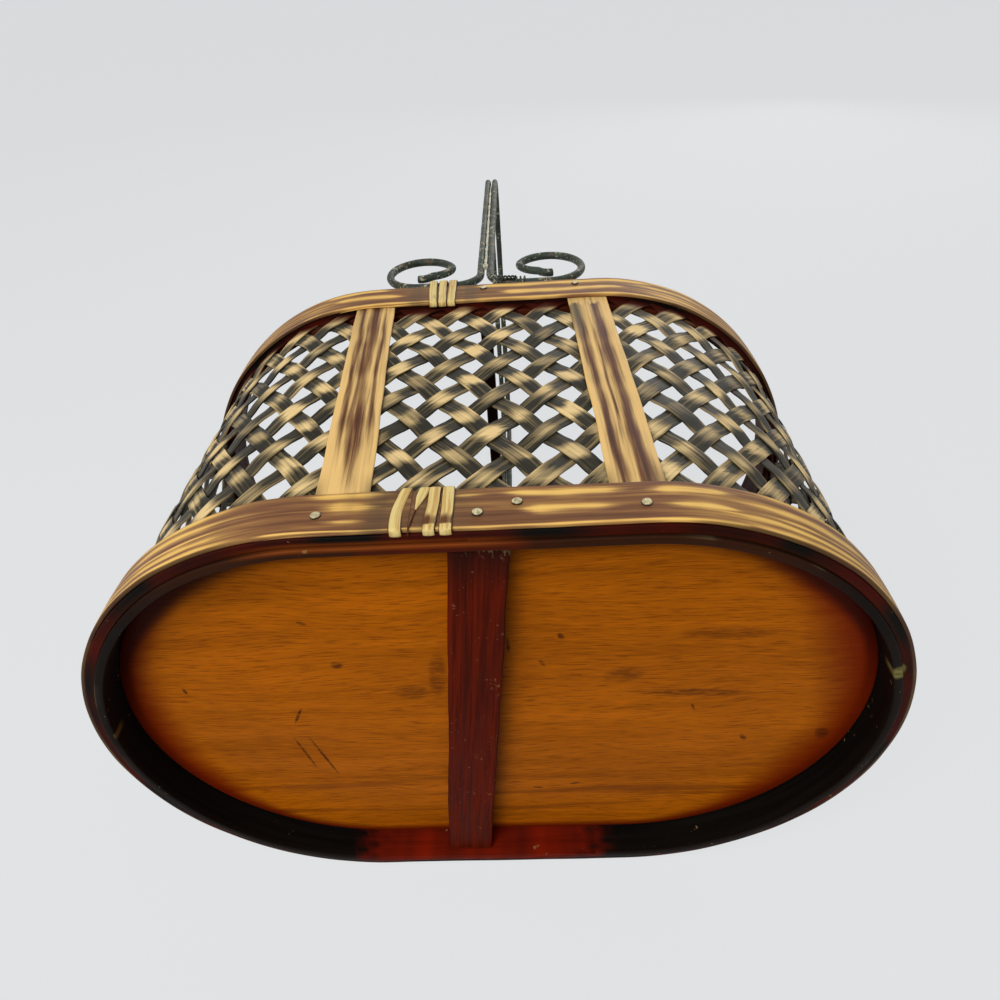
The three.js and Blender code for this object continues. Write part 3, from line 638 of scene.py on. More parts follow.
# Scratches, knots and smudges on the panel's underside: middle x, y, angle, length and width in
# millimetres and degrees, and how dark.
PANEL_MARKS = (
    (-67.2, 2.5, 116, 11, 1.2, 0.9),
    (-69.2, 24.0, 77, 24, 1.1, 0.8),
    (-63.0, 26.0, 75, 29, 1.1, 0.9),
    (12.9, 49.3, 8, 5, 1.2, 0.8),
    (26.7, 47.3, 172, 5, 1.2, 0.8),
    (16.0, -21.0, 60, 4, 1.6, 0.8),
    (-101.4, -12.5, 80, 4, 1.4, 0.8),
    (-56.0, -42.5, 20, 4, 1.4, 0.7),
    (65.6, 3.6, 70, 4, 1.2, 0.8),
    (119.0, 43.0, 40, 6, 4.0, 0.8),
    (-17.5, -17.0, 96, 26, 6.0, 0.5),
    (-49.0, -23.0, 20, 5, 3.4, 0.8),
    (22.0, -33.0, 60, 4, 2.0, 0.8),
    (84.5, 21.3, 60, 5, 2.0, 0.8),
    (111.0, 20.0, 70, 8, 5.0, 0.7),
    (72.0, -32.0, 2, 34, 6.0, 0.45),
    (66.0, -4.0, 4, 48, 3.6, 0.6),
    (42.0, -14.0, 170, 16, 8.0, 0.5),
    (-27.0, -8.7, 10, 14, 8.0, 0.5),
    (5.7, -30.0, 88, 9, 1.2, 0.9),
)


def panel_material():
    """Amber varnished plywood: low grain and short ticks along the length, soft clouds, dark grain lines
    towards the far edge, dark red at the edge and most at the two ends as pooled varnish and painted
    shade of the recess, a painted shadow along the front edge under the near hoop, and scratches."""
    material, tree, shader = new_material("varnished_plywood")
    here = place(tree)
    split = shader_node(tree, "ShaderNodeSeparateXYZ", {0: here}).outputs
    board = use_group(tree, "Board Grain", {"Vector": here})
    cloud = noise(tree, stretched(tree, here, (11.0, 24.0, 14.0)), 1.0, 3.0)
    amber = colour("panel")
    base = ramp(tree, board["Grain"], ((0.28, toned(amber, 0.7)), (0.5, amber), (0.74, toned(amber, 1.22))))
    base = mixed(tree, stepped(tree, cloud, 0.4, 0.72, 0.0, 0.5), base, toned(amber, 0.62))
    base = mixed(tree, stepped(tree, cloud, 0.45, 0.25, 0.0, 0.4), base, toned(amber, 1.25))
    base = mixed(tree, times(tree, board["Pores"], 0.6), base, shown(120, 58, 6))
    base = mixed(tree, times(tree, board["Glints"], 0.32), base, toned(amber, 1.5))
    lines = noise(tree, stretched(tree, here, (7.0, 150.0, 7.0)), 1.0, 3.0)
    lines = times(tree, stepped(tree, lines, 0.53, 0.64),
                  stepped(tree, split["Y"], 26 * MM, 52 * MM, 0.06, 0.5))
    base = mixed(tree, lines, base, shown(104, 48, 8))
    # Pooled varnish and painted shade of the recess: dark red along the edge, widest at the two ends.
    off_centre = reckon(tree, "ABSOLUTE", reckon(tree, "ADD", split["X"], 8 * MM))
    reach = stepped(tree, off_centre, 64 * MM, 116 * MM, 5.5 * MM, 20 * MM)
    ragged = reckon(tree, "ADD", times(tree, cloud, 1.3), 0.35)
    share = reckon(tree, "DIVIDE", mark(tree, "inset"), times(tree, reach, ragged))
    base = mixed(tree, stepped(tree, share, 1.1, 0.1, 0.0, 0.94), base, colour("panel_edge"))
    # Painted shadow along the front edge, where the near hoop shades the recess.
    shade = stepped(tree, split["Y"], -25 * MM, -60 * MM, 5.5 * MM, 12.5 * MM)
    shade = reckon(tree, "DIVIDE", mark(tree, "inset"), shade)
    corner = times(tree, stepped(tree, shade, 1.0, 0.45),
                   stepped(tree, split["Y"], 10 * MM, -40 * MM, 0.25, 0.85))
    base = mixed(tree, corner, base, toned(colour("panel_edge"), 0.18))
    marks = None
    for x, y, angle, length, width, strength in PANEL_MARKS:
        mask = use_group(tree, "Scratch", {
            "Vector": here, "X": x * MM, "Y": y * MM, "Angle": math.radians(angle),
            "Length": length * MM, "Width": width * MM})["Mask"]
        mask = times(tree, mask, strength)
        marks = mask if marks is None else reckon(tree, "MAXIMUM", marks, mask)
    base = mixed(tree, marks, base, shown(56, 24, 6))
    rough = stepped(tree, board["Grain"], 0.3, 0.7, 0.5, 0.4)
    height = reckon(tree, "SUBTRACT", board["Grain"], times(tree, marks, 0.8))
    finish_shader(tree, shader, base, rough, height, 0.2, 0.12 * MM, Specular_IOR_Level=0.04)
    return material


def batten_material():
    """Dark red-brown stained wood with near-black lines along the piece and tiny pale specks, torn pale
    in small bits where its frayed mark is, and near-black with painted shade where its marks say."""
    material, tree, shader = new_material("red_brown_wood")
    fibre = bamboo_fibre(tree)
    stain = colour("crossbar")
    base = ramp(tree, fibre["Coarse"], ((0.3, toned(stain, 0.5)), (0.52, stain), (0.8, toned(stain, 1.35))))
    base = mixed(tree, stepped(tree, fibre["Fine"], 0.54, 0.34, 0.0, 0.6), base, toned(stain, 0.3))
    base = mixed(tree, stepped(tree, fibre["Fine"], 0.6, 0.8, 0.0, 0.5), base, toned(stain, 1.8))
    specks = use_group(tree, "Specks", {"Vector": place(tree), "Scale": 950.0, "Limit": 0.7})["Mask"]
    base = mixed(tree, times(tree, specks, 0.5), base, shown(150, 110, 74))
    torn = noise(tree, stretched(tree, place(tree), (1100.0, 420.0, 800.0)), 1.0, 3.0)
    torn = reckon(tree, "ADD", torn, times(tree, mark(tree, "frayed"), 0.2))
    torn = times(tree, stepped(tree, torn, 0.66, 0.76), mark(tree, "frayed"))
    base = mixed(tree, torn, base, shown(190, 158, 112))
    base = mixed(tree, mark(tree, "soot_and_shade"), base, colour("soot_and_shade"))
    rough = stepped(tree, fibre["Coarse"], 0.25, 0.75, 0.45, 0.65)
    finish_shader(tree, shader, base, rough, fibre["Fine"], 0.5, 0.25 * MM, Specular_IOR_Level=0.04)
    return material


def wire_material():
    """Green-black paint on wire, chipped to pale and rusty flecks."""
    material, tree, shader = new_material("black_wire")
    here = place(tree)
    chips = use_group(tree, "Specks", {"Vector": here, "Scale": 900.0, "Limit": 0.6})["Mask"]
    rust = use_group(tree, "Specks", {"Vector": here, "Scale": 520.0, "Limit": 0.58})["Mask"]
    cloud = noise(tree, here, 160.0, 3.0)
    base = mixed(tree, stepped(tree, cloud, 0.35, 0.7), colour("wire"), toned(colour("wire"), 2.0))
    base = mixed(tree, times(tree, rust, 0.6), base, shown(104, 78, 54))
    base = mixed(tree, times(tree, chips, 0.75), base, shown(190, 180, 150))
    rough = stepped(tree, cloud, 0.3, 0.7, 0.42, 0.62)
    finish_shader(tree, shader, base, rough, reckon(tree, "SUBTRACT", cloud, chips), 0.4, 0.15 * MM,
                  Specular_IOR_Level=0.25)
    return material


def metal_material(name, tone, metallic, rough_low, rough_high):
    """Bare dull metal: cloudy colour, scattered dark grime, painted shade where its marks say, and uneven
    polish.
    """
    material, tree, shader = new_material(name)
    here = place(tree)
    cloud = noise(tree, here, 900.0, 3.0)
    grime = use_group(tree, "Specks", {"Vector": here, "Scale": 700.0, "Limit": 0.56})["Mask"]
    base = mixed(tree, stepped(tree, cloud, 0.3, 0.6), toned(tone, 0.55), tone)
    base = mixed(tree, times(tree, grime, 0.4), base, shown(92, 66, 40))
    base = mixed(tree, mark(tree, "soot_and_shade"), base, shown(40, 26, 16))
    rough = stepped(tree, cloud, 0.3, 0.7, rough_low, rough_high)
    finish_shader(tree, shader, base, rough, cloud, 0.3, 0.1 * MM, Metallic=metallic)
    return material


def rattan_material():
    """Peeled cane: pale yellow with hair lines along the strand, brown where the stain mark is, which
    holds a brown stain low down and painted shade along the strands' edges, with a soft waxy shine."""
    material, tree, shader = new_material("rattan")
    fibre = bamboo_fibre(tree)
    pale = colour("rattan")
    base = mixed(tree, stepped(tree, fibre["Fine"], 0.36, 0.58), shown(206, 164, 92), pale)
    stain = use_group(tree, "Scraped Pale", {
        "Pale": mark(tree, "stain"), "Fine": fibre["Fine"], "Coarse": fibre["Coarse"],
        "Limit": 0.6, "Softness": 0.25})["Mask"]
    base = mixed(tree, stain, base, shown(96, 54, 22))
    rough = stepped(tree, fibre["Coarse"], 0.3, 0.7, 0.42, 0.58)
    finish_shader(tree, shader, base, rough, fibre["Fine"], 0.4, 0.2 * MM, Specular_IOR_Level=0.25)
    return material


def material(name):
    """A finish by its slot name, made the first time that it is asked for."""
    return bpy.data.materials.get(f"{name}_finish") or MATERIALS[name]()


MATERIALS = {
    "scorched_bamboo": lambda: bamboo_material(
        "scorched_bamboo", colour("scorch"), colour("hoop_streak"), 0.65, 0.8,
        (0.0, 0.26, 0.5, 0.68, 0.95)),
    "slat_bamboo": lambda: bamboo_material(
        "slat_bamboo", colour("slat_scorch"), colour("slat_pale"), 1.05, 1.1,
        (0.0, 0.22, 0.48, 0.74, 1.0)),
    "woven_strips": lambda: bamboo_material(
        "woven_strips", colour("strip_stain"), colour("strip_crown"), 0.9, 0.9,
        (0.0, 0.24, 0.52, 0.82, 1.0)),
    "dark_bamboo": dark_hoop_material,
    "varnished_plywood": panel_material,
    "red_brown_wood": batten_material,
    "black_wire": wire_material,
    "rattan": rattan_material,
    "nail_metal": lambda: metal_material("nail_metal", colour("nail"), 0.15, 0.35, 0.5),
    "weld_metal": lambda: metal_material("weld_metal", colour("weld"), 0.15, 0.4, 0.6),
}


# Pieces

# Rings round a hoop, rounding of its edges, length of its lap, and the place of its lashing on the front.
HOOP_STEPS = 520
HOOP_ROUND = 0.45 * MM
LAP = 42 * MM
LASHED_AT = -17 * MM


def hoop_points(depth, thickness, bottom, height, lap_at, seed, face_steps=34, crown=0.2 * MM):
    """A band bent round the wall and lapped on itself: a rounded, slightly crowned section carried
    once round and one lap further. Over the lap the first end thins inwards and the last end thins
    outwards and stands a little proud, so that together they keep the band's thickness."""
    run = np.linspace(0, SEAM + LAP, HOOP_STEPS)[:, None]
    along = lap_at + run
    inwards, rise = rounded_section(thickness, height, HOOP_ROUND, face_steps)
    share = inwards / thickness
    front = np.clip(1 - run / LAP, 0, 0.97)
    back = 1 - np.clip((run - SEAM) / LAP, 0, 0.9)
    proud = 0.2 * MM * ease(run, SEAM, SEAM + LAP)
    outer_face = (inwards < 0.3 * thickness) * (1 - (2 * rise / height - 1) ** 2)
    across = depth + thickness * (front + (back - front) * share) - proud - crown * outer_face
    across = across + 0.12 * MM * wander(along, 70 * MM, seed)
    level = bottom + rise + 0.22 * MM * wander(along, 110 * MM, seed + 1) * (2 * rise / height - 1)
    return wall(along, across, level)[None], along, rise[None], share[None]


# Pale streaks on the outer hoops, the base's last row a painted highlight along its lower edge: start
# and stop in millimetres from the middle of the front, place across the band from its top (0) to its
# bottom (1), and half width.
BASE_STREAKS = (
    (-48, -21, 0.1, 0.1),
    (-44, -22, 0.42, 0.1),
    (-43, -25, 0.76, 0.05),
    (-12, 6, 0.21, 0.035),
    (4, 42, 0.21, 0.085),
    (42, 72, 0.22, 0.08),
    (8, 40, 0.62, 0.085),
    (46, 72, 0.62, 0.075),
    # Painted highlight along the lower edge of the front.
    (-60, 76, 0.98, 0.018),
)
RIM_STREAKS = (
    (-70, -36, 0.16, 0.07),
    (-8, 70, 0.18, 0.09),
    (-66, -30, 0.55, 0.1),
    (2, 60, 0.6, 0.1),
    (-80, 80, 0.955, 0.04),
)
# Bands that run all round the rest of a hoop: place across it and half width.
ROUND_BANDS = ((0.07, 0.07), (0.37, 0.09), (0.6, 0.03), (0.75, 0.06), (0.93, 0.05))
# How far the front's own streaks go before those bands take over.
FRONT_SPAN = 52 * MM
# Where the base's lower edge is rubbed amber: its middle, and the distances at which it ends and is full.
AMBER_MIDDLE = -26 * MM
AMBER_REACH = 44 * MM, 22 * MM


def warm_front(where):
    """1 on the length of the front at which the base's lower edge is rubbed amber, fading to 0 beyond."""
    return ease(np.abs(where - AMBER_MIDDLE), *AMBER_REACH)


class BASKET_OT_hoops(bpy.types.Operator):
    """Bends the two scorched outer hoops and the two dark inner hoops round the wall"""

    bl_idname = "basket.hoops"
    bl_label = "Hoops"

    def execute(self, context):
        self.outer("base_scorched_band", "base_outer_hoop", BASE_STREAKS, 11)
        self.outer("rim_scorched_band", "rim_outer_hoop", RIM_STREAKS, 61)
        self.inner("base_dark_band", "base_inner_hoop", BACK - 34 * MM, 31)
        self.inner("rim_dark_band", "rim_inner_hoop", BACK / 2, 81)
        return {"FINISHED"}

    def outer(self, name, node, rows, seed):
        """A scorched band: its own streaks on the front, and round the rest broad bands that come and
        go. It is weathered beside its lashing, where its lap ends."""
        low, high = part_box(node)
        height = high.z - low.z
        points, along, rise, share = hoop_points(
            0, sizes().outer_hoop, low.z, height, LASHED_AT - LAP, seed)
        where = from_front(along)
        level = 1 - rise / height
        in_metres = [(start * MM, stop * MM, middle, half) for start, stop, middle, half in rows]
        pale = streaks(where, level, in_metres, seed)
        bands = [(-SEAM, SEAM, middle, half) for middle, half in ROUND_BANDS]
        beyond = ease(np.abs(where), FRONT_SPAN, FRONT_SPAN + 22 * MM)
        gone = 0.75 + 0.35 * wander(where, 95 * MM, seed + 60)
        pale = np.maximum(pale, beyond * gone * streaks(where, level, bands, seed + 70))
        pale = 0.27 + 0.66 * np.clip(pale, 0, 1.15)
        dull = 0.5 * ease(np.abs(where - LASHED_AT), 21 * MM, 9 * MM)
        dull = dull * (0.75 + 0.5 * wander(where, 12 * MM, seed + 80))
        # Painted shade: the underside away from the front, and the inner face against the strips, go
        # near-black.
        underneath = ease(rise, 0.5 * MM, 0.15 * MM) * beyond
        marks = {"run": along, "across": rise, "pale": pale * (share < 0.9), "tone": seed * 0.1,
                 "dull": np.clip(dull, 0, 1), "soot_and_shade": np.maximum(0.7 * underneath, 0.8 * (share > 0.9))}
        add_piece(name, points, "scorched_bamboo", (node,), marks)

    def inner(self, name, node, lap_at, seed):
        """A dark band: olive-brown along its lower edge and amber on part of the front's, with bits of
        a thin pale painted highlight, and red lacquer on the back and in one patch on the front."""
        low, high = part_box(node)
        height = high.z - low.z
        thickness = sizes().inner_hoop
        points, along, rise, share = hoop_points(depth_of(node), thickness, low.z, height, lap_at, seed,
                                                 face_steps=8, crown=0.0)
        where = from_front(along)
        behind = np.mod(along, SEAM) - BACK
        under = ease(rise, 0.8 * MM, 0.2 * MM)
        corner = under * ease(share, 0.2, 0.04)
        # Painted highlight: bits of a thin pale line along the outer lower corner, away from the front.
        line = 0.2 * corner * ease(wander(along, 50 * MM, seed), 0.3, 0.6)
        line = line * ease(np.abs(where), 50 * MM, 70 * MM)
        warm = under * warm_front(where) * (1 - 2 * share) * (node == "base_inner_hoop")
        ragged = 5 * MM * wander(along + 2 * rise, 14 * MM, seed + 5)
        red = 0.35 * under * ease(np.abs(where + 8 * MM + ragged), 30 * MM, 12 * MM)
        red = np.maximum(red, ease(np.abs(behind - 10 * MM + ragged), 52 * MM, 34 * MM))
        if node == "rim_inner_hoop":
            red = 0.2
        red = red * (0.8 + 0.3 * wander(along, 24 * MM, seed + 3))
        marks = {"run": along, "across": rise + share * thickness, "pale": line, "tone": seed * 0.1,
                 "edge": under * (0.1 + 0.9 * ease(np.abs(where), 120 * MM, 70 * MM)),
                 "warm": warm, "lacquer": np.clip(0.9 * red, 0, 1)}
        add_piece(name, points, "dark_bamboo", (node,), marks)


# Sections up a woven strip.
STRIP_ROWS = 112
# How far the strips' feet end above the lower edge of the band that they are bedded in.
BEDDED = 1.2 * MM
# Gap between that band and the hoops on both sides of it.
BEDDING_GAP = 0.05 * MM


def strip_points(climb_sign, seed):
    """All the strips that lean one way, as (strip, row, section). A strip's middle goes along the
    wall by its slope times the height, with a slight wander. A flattened cosine of the distance up
    the strip swings it out over one crossing strip and in under the next, the other way round for
    the two families, and its section is a thin, slightly crowned rounded rectangle."""
    rng = np.random.default_rng(seed)
    count = STRIPS_EACH_WAY
    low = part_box("weave_inner_strips")[0].z + BEDDED
    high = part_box("weave_inner_strips")[1].z
    height = np.linspace(low, high, STRIP_ROWS)[None, :, None]
    number = np.arange(count)[:, None, None]
    width = sizes().strip_width * (1 + 0.07 * rng.uniform(-1, 1, (count, 1, 1)))
    thickness = sizes().strip_thickness
    inwards, rise = rounded_section(thickness, 1.0, 0.2 * thickness, 4, 1)
    aside = (rise - 0.5)[None, None, :]
    slope = climb_sign / CLIMB + DRIFT
    bend = 0.45 * MM * wander(height + 0.37 * number, 60 * MM, seed + 1)
    taper = 1 + 0.06 * wander(height + 0.61 * number, 45 * MM, seed + 2)
    sideways = aside * width * taper * math.sqrt(1 + slope * slope)
    along = CROSSING_ALONG + PITCH * number + slope * (height - CROSSING_HEIGHT) + bend + sideways
    reached = height + sideways * slope / (1 + slope * slope)
    swing = climb_sign * np.cos(math.pi * (reached - CROSSING_HEIGHT) / ROW)
    wave = np.tanh(1.7 * swing) / math.tanh(1.7)
    crown = 0.16 * MM * (1 - (2 * aside) ** 2)
    depth = WEAVE_DEPTH - sizes().strip_wave * wave - crown + inwards - thickness / 2
    points = wall(along, depth, height)
    run = (height - low) * math.sqrt(1 + slope * slope)
    tone = rng.uniform(0, 1, (count, 1, 1))
    outside = inwards < 0.5 * thickness
    scrape = 0.66 + 0.5 * wander(reached + 0.83 * number, 34 * MM, seed + 3)
    shifted = swing + 0.25 * wander(reached + 1.7 * aside * width + 0.29 * number, 16 * MM, seed + 5)
    rubbed = ease(shifted, 0.28, 1.1) * scrape * (0.6 + 0.6 * tone) * (1.1 - 0.4 * (2 * aside) ** 2)
    split_hair = ease(wander(reached + number, 50 * MM, seed + 4), 0, 0.4)
    edges = 0.3 * ease(np.abs(2 * aside), 0.7, 1.0) * split_hair
    pale = 0.2 + np.clip(rubbed, 0, 1.0) * outside + edges
    uneven = 1.2 * MM * wander(along, 40 * MM, 9)
    # Painted shade: the band of strips that the rim hoop shades is painted red-brown and near-black.
    rim_shade_band = ease(height + uneven, RIM_LOW.z - 6 * MM, RIM_LOW.z - 2 * MM)
    rim_shade_band = rim_shade_band * np.where(tone > 0.85, 0.5, 0.9)
    # Painted shade: the strips' feet turn near-black in the gap between the base hoops.
    foot = ease(height, BASE_HIGH.z - 2 * MM, BASE_HIGH.z - 5 * MM)
    painted_shade = np.maximum(0.85 * rim_shade_band, 0.95 * foot)
    return points, {"run": run, "across": aside * width, "pale": pale, "tone": tone,
                    "lacquer": np.clip(rim_shade_band, 0, 0.9), "soot_and_shade": np.clip(painted_shade, 0, 1)}


class BASKET_OT_weave(bpy.types.Operator):
    """Weaves the two families of strips over and under each other"""

    bl_idname = "basket.weave"
    bl_label = "Weave"

    def execute(self, context):
        for name, node, climb_sign, seed in (
                ("rising_strips", "weave_inner_strips", 1, 101),
                ("falling_strips", "weave_outer_strips", -1, 201)):
            points, marks = strip_points(climb_sign, seed)
            add_piece(name, points, "woven_strips", (node,), marks, sharp=50)
        low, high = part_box("weave_inner_strips")
        self.backing("base_backing", low.z, BASE_HIGH.z - 3 * MM, 221)
        self.backing("rim_backing", RIM_LOW.z + 1 * MM, high.z + 0.2 * MM, 231)
        return {"FINISHED"}

    def backing(self, name, bottom, top, seed):
        """The dark band between two hoops in which the strips' ends are bedded: a rounded section
        carried once round the wall, black outside and olive-brown or amber inside."""
        depth = sizes().outer_hoop + BEDDING_GAP
        inwards, rise = rounded_section(INNER_HOOP - BEDDING_GAP - depth, top - bottom, 0.3 * MM, 2)
        along = np.linspace(0, SEAM, 360, endpoint=False)[:, None]
        points = wall(along, depth + inwards, bottom + rise)[None]
        where = from_front(along)
        inner_half = 1.9 * inwards / inwards.max() - 0.8
        red = 0.12 + 0.2 * wander(along, 60 * MM, seed)
        amber = warm_front(where) * inner_half * (name == "base_backing")
        marks = {"run": along, "across": inwards + rise, "tone": seed * 0.1, "pale": 0.0,
                 "edge": 0.7 * inner_half, "warm": amber, "lacquer": np.clip(red, 0, 1)}
        add_piece(name, points, "dark_bamboo", (), marks, closed=True)


# Foot and top of the two slats, as distances from the middle of the wall.
SLAT_LEANS = {"left": (-35.7 * MM, -45.8 * MM), "right": (44.2 * MM, 40.1 * MM)}
# How pale a slat's bare bamboo is.
SLAT_PALENESS = 0.94
SLAT_ROUND = 0.35 * MM
# Scorched streaks down a slat: place across it at the foot and at the top from -1 to 1, half width,
# and the shares of the height that they start and stop at.
SLAT_STREAKS = {
    "left": ((-0.5, -0.56, 0.16, 0.26, 0.98), (-0.02, 0.04, 0.3, 0.16, 1.3), (0.55, 0.6, 0.1, 0.3, 0.9)),
    "right": ((-0.42, -0.68, 0.17, -0.3, 1.3), (0.3, 0.28, 0.3, -0.3, 1.3), (-0.05, -0.18, 0.07, 0.2, 0.8)),
}


def slat_points(foot, top, low, high, middle, seed):
    """A flat slat up the wall: a rounded, crowned section carried from its foot to its top along a
    straight line on the wall, its edges wandering a little."""
    height = np.linspace(low, high, 90)[:, None]
    share = height / RIM_HIGH.z
    thickness = sizes().slat_thickness
    inwards, rise = rounded_section(thickness, sizes().slat_width, SLAT_ROUND, 22)
    aside = rise / sizes().slat_width - 0.5
    width = sizes().slat_width * (1 + 0.015 * wander(height, 70 * MM, seed))
    bend = 0.2 * MM * wander(height, 90 * MM, seed + 1)
    along = middle + foot + (top - foot) * share + aside * width + bend
    crown = 0.22 * MM * (1 - (2 * aside) ** 2) * (inwards < thickness / 2)
    spare = OUTER_LAYER - sizes().outer_hoop - thickness
    across = sizes().outer_hoop + spare / 2 + inwards - crown
    return wall(along, across, height)[None], share, aside, inwards


class BASKET_OT_slats(bpy.types.Operator):
    """Sets the four flat slats behind the outer hoops"""

    bl_idname = "basket.slats"
    bl_label = "Slats"

    def execute(self, context):
        seed = 301
        for face, middle in (("front", 0.0), ("back", BACK)):
            for side in SLAT_LEANS:
                self.slat(face, side, middle, seed)
                seed += 10
        return {"FINISHED"}

    def slat(self, face, side, middle, seed):
        """One slat: pale bamboo with a bell-shaped line for each scorched streak, paler along its edges,
        darker at the corners of its foot and dull at one corner of its top. A right slat is torn pale
        near its top."""
        node = f"slat_{face}_{side}"
        low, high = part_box(node)
        points, share, aside, inwards = slat_points(*SLAT_LEANS[side], low.z, high.z, middle, seed)
        across = 2 * aside + 0.05 * wander(share, 0.5, seed + 2)
        scorch = 0.0
        for foot_across, top_across, half, start, stop in SLAT_STREAKS[side]:
            width = half * (1 + 0.3 * wander(share, 0.45, seed + 3))
            middle_across = foot_across + (top_across - foot_across) * share
            line = np.exp(-((across - middle_across) / width) ** 2)
            ends = ease(share, start - 0.1, start + 0.12) * ease(share, stop + 0.1, stop - 0.15)
            scorch = np.maximum(scorch, line * ends)
        pale = SLAT_PALENESS - 0.78 * scorch + 0.1 * wander(share, 0.3, seed + 4)
        pale = pale + 0.22 * ease(np.abs(2 * aside), 0.82, 0.98)
        pale = pale * (inwards < 0.8 * sizes().slat_thickness)
        foot_corner = ease(share, 0.2, 0.11) * ease(np.abs(aside), 0.25, 0.5)
        top_corner = ease(share, 0.6, 0.82) * ease(aside, 0.0, -0.4)
        if side == "right":
            torn = ease(share + 0.012 * wander(aside, 0.3, seed + 6), 0.858, 0.87)
            pale = np.maximum(pale, 0.9 * torn)
            top_corner = top_corner * (1 - 0.8 * torn)
        else:
            top_corner = 0.3 * top_corner
        marks = {"run": share * (high.z - low.z), "across": aside * sizes().slat_width, "pale": pale,
                 "tone": seed * 0.17, "dull": 0.75 * top_corner, "soot_and_shade": 0.6 * foot_corner}
        add_piece(f"{face}_{side}_slat", points, "slat_bamboo", (node,), marks)


# Rounding of the panel's and the bars' edges, and how far the crossbar is turned off square.
PANEL_ROUND = 0.8 * MM
BAR_ROUND = 0.9 * MM
CROSSBAR_TURN = math.radians(5.6)


class BASKET_OT_base(bpy.types.Operator):
    """Lays the varnished panel and the crossbar under it"""

    bl_idname = "basket.base"
    bl_label = "Base"

    def execute(self, context):
        self.panel()
        self.crossbar()
        return {"FINISHED"}

    def panel(self):
        """The panel: oval rings that grow from the middle of the underside to a quarter-round edge and
        shrink again on the upper face, with a slight warp that fades towards the edge."""
        low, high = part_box("base_panel")
        radius = high.y
        edge = PANEL_ROUND
        turn = np.linspace(0, math.pi / 2, 4)
        flat = np.linspace(0, radius - edge, 40)
        out = radius - edge + edge * np.sin(turn[1:])
        rise = edge * (1 - np.cos(turn[1:]))
        rings = np.concatenate((flat, out, out[::-1], flat[::-1]))
        levels = np.concatenate((0 * flat + low.z, low.z + rise, (high.z - rise)[::-1], 0 * flat + high.z))
        along = np.linspace(0, SEAM, 180, endpoint=False)
        points = wall(along[None, :], GROUND_RADIUS - rings[:, None], 0.0)
        warp = 0.12 * MM * wander(points[..., 0], 150 * MM, 5) * ease(radius - rings, 0, 20 * MM)[:, None]
        points[..., 2] = levels[:, None] + warp
        marks = {"inset": (radius - rings)[:, None]}
        add_piece("amber_panel", points[None], "varnished_plywood", ("base_panel",), marks, merge=True)

    def crossbar(self):
        """The batten under the panel: a rounded section carried along its turned middle line, its
        edges slightly uneven, with frayed fibre marked and painted shade laid at its front end."""
        low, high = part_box("base_crossbar")
        turn = CROSSBAR_TURN
        width = sizes().crossbar_width
        length = (high.y - low.y - width * math.sin(turn)) / math.cos(turn)
        thickness = high.z - low.z
        run = np.linspace(-0.5, 0.5, 120)[:, None] * length
        rise, aside = rounded_section(thickness, width, BAR_ROUND, 10)
        aside = aside - width / 2
        aside = aside * (1 + 0.02 * wander(run, 60 * MM, 401)) + 0.2 * MM * wander(run, 90 * MM, 402)
        middle = (low + high) / 2
        x = middle.x + aside * math.cos(turn) - run * math.sin(turn)
        y = middle.y + aside * math.sin(turn) + run * math.cos(turn)
        z = low.z + rise + 0.1 * MM * wander(run + aside, 20 * MM, 403)
        points = swept(x, y, z)
        near_end = ease(run, -length / 2 + 6 * MM, -length / 2)
        frayed = near_end * (0.35 + 0.65 * ease(aside, -4 * MM, 4 * MM))
        # Painted shade darkens the front end, where it runs under the near hoop.
        marks = {"run": run, "across": aside + rise, "tone": 0.4, "frayed": frayed,
                 "soot_and_shade": 0.6 * ease(run, -length / 2 + 18 * MM, -length / 2 + 2 * MM)}
        add_piece("base_batten", points, "red_brown_wood", ("base_crossbar",), marks)


class BASKET_OT_divider(bpy.types.Operator):
    """Sets the divider bar across the mouth"""

    bl_idname = "basket.divider"
    bl_label = "Divider"

    def execute(self, context):
        low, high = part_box("divider_bar")
        run = np.linspace(low.y, high.y, 80)[:, None]
        rise, aside = rounded_section(high.z - low.z, high.x - low.x, BAR_ROUND, 4)
        x = low.x + aside + 0.12 * MM * wander(run, 60 * MM, 411)
        z = low.z + rise + 0.1 * MM * wander(run, 80 * MM, 412)
        points = swept(x, run, z)
        # Painted shade: the divider goes nearly black, as it lies in the shade of the mouth.
        marks = {"run": run, "across": aside + rise, "tone": 0.7, "frayed": 0.0, "soot_and_shade": 0.9}
        add_piece("mouth_divider", points, "red_brown_wood", ("divider_bar",), marks)
        return {"FINISHED"}


# The scrolls: distance from the handle's middle, size, whole turn, share that it shrinks to, and the
# turns between which it shrinks.
SCROLL_FROM_CENTRE = 27.8 * MM
SCROLL_WIDTH = 31.7 * MM
SCROLL_HEIGHT = 35 * MM
SCROLL_TURN = math.radians(372)
SCROLL_END_SHARE = 0.37
SCROLL_TIGHTENS = math.radians(240), math.radians(305)
# Radii of the bends at a leg's foot and at the grip.
FOOT_BEND = 12 * MM
HANDLE_CORNER = 14 * MM
# Length of the weld up a leg, and how far its middle stands out from that of the rods.
WELD_SEAM = 148 * MM
WELD_PROUD = 1.35 * MM


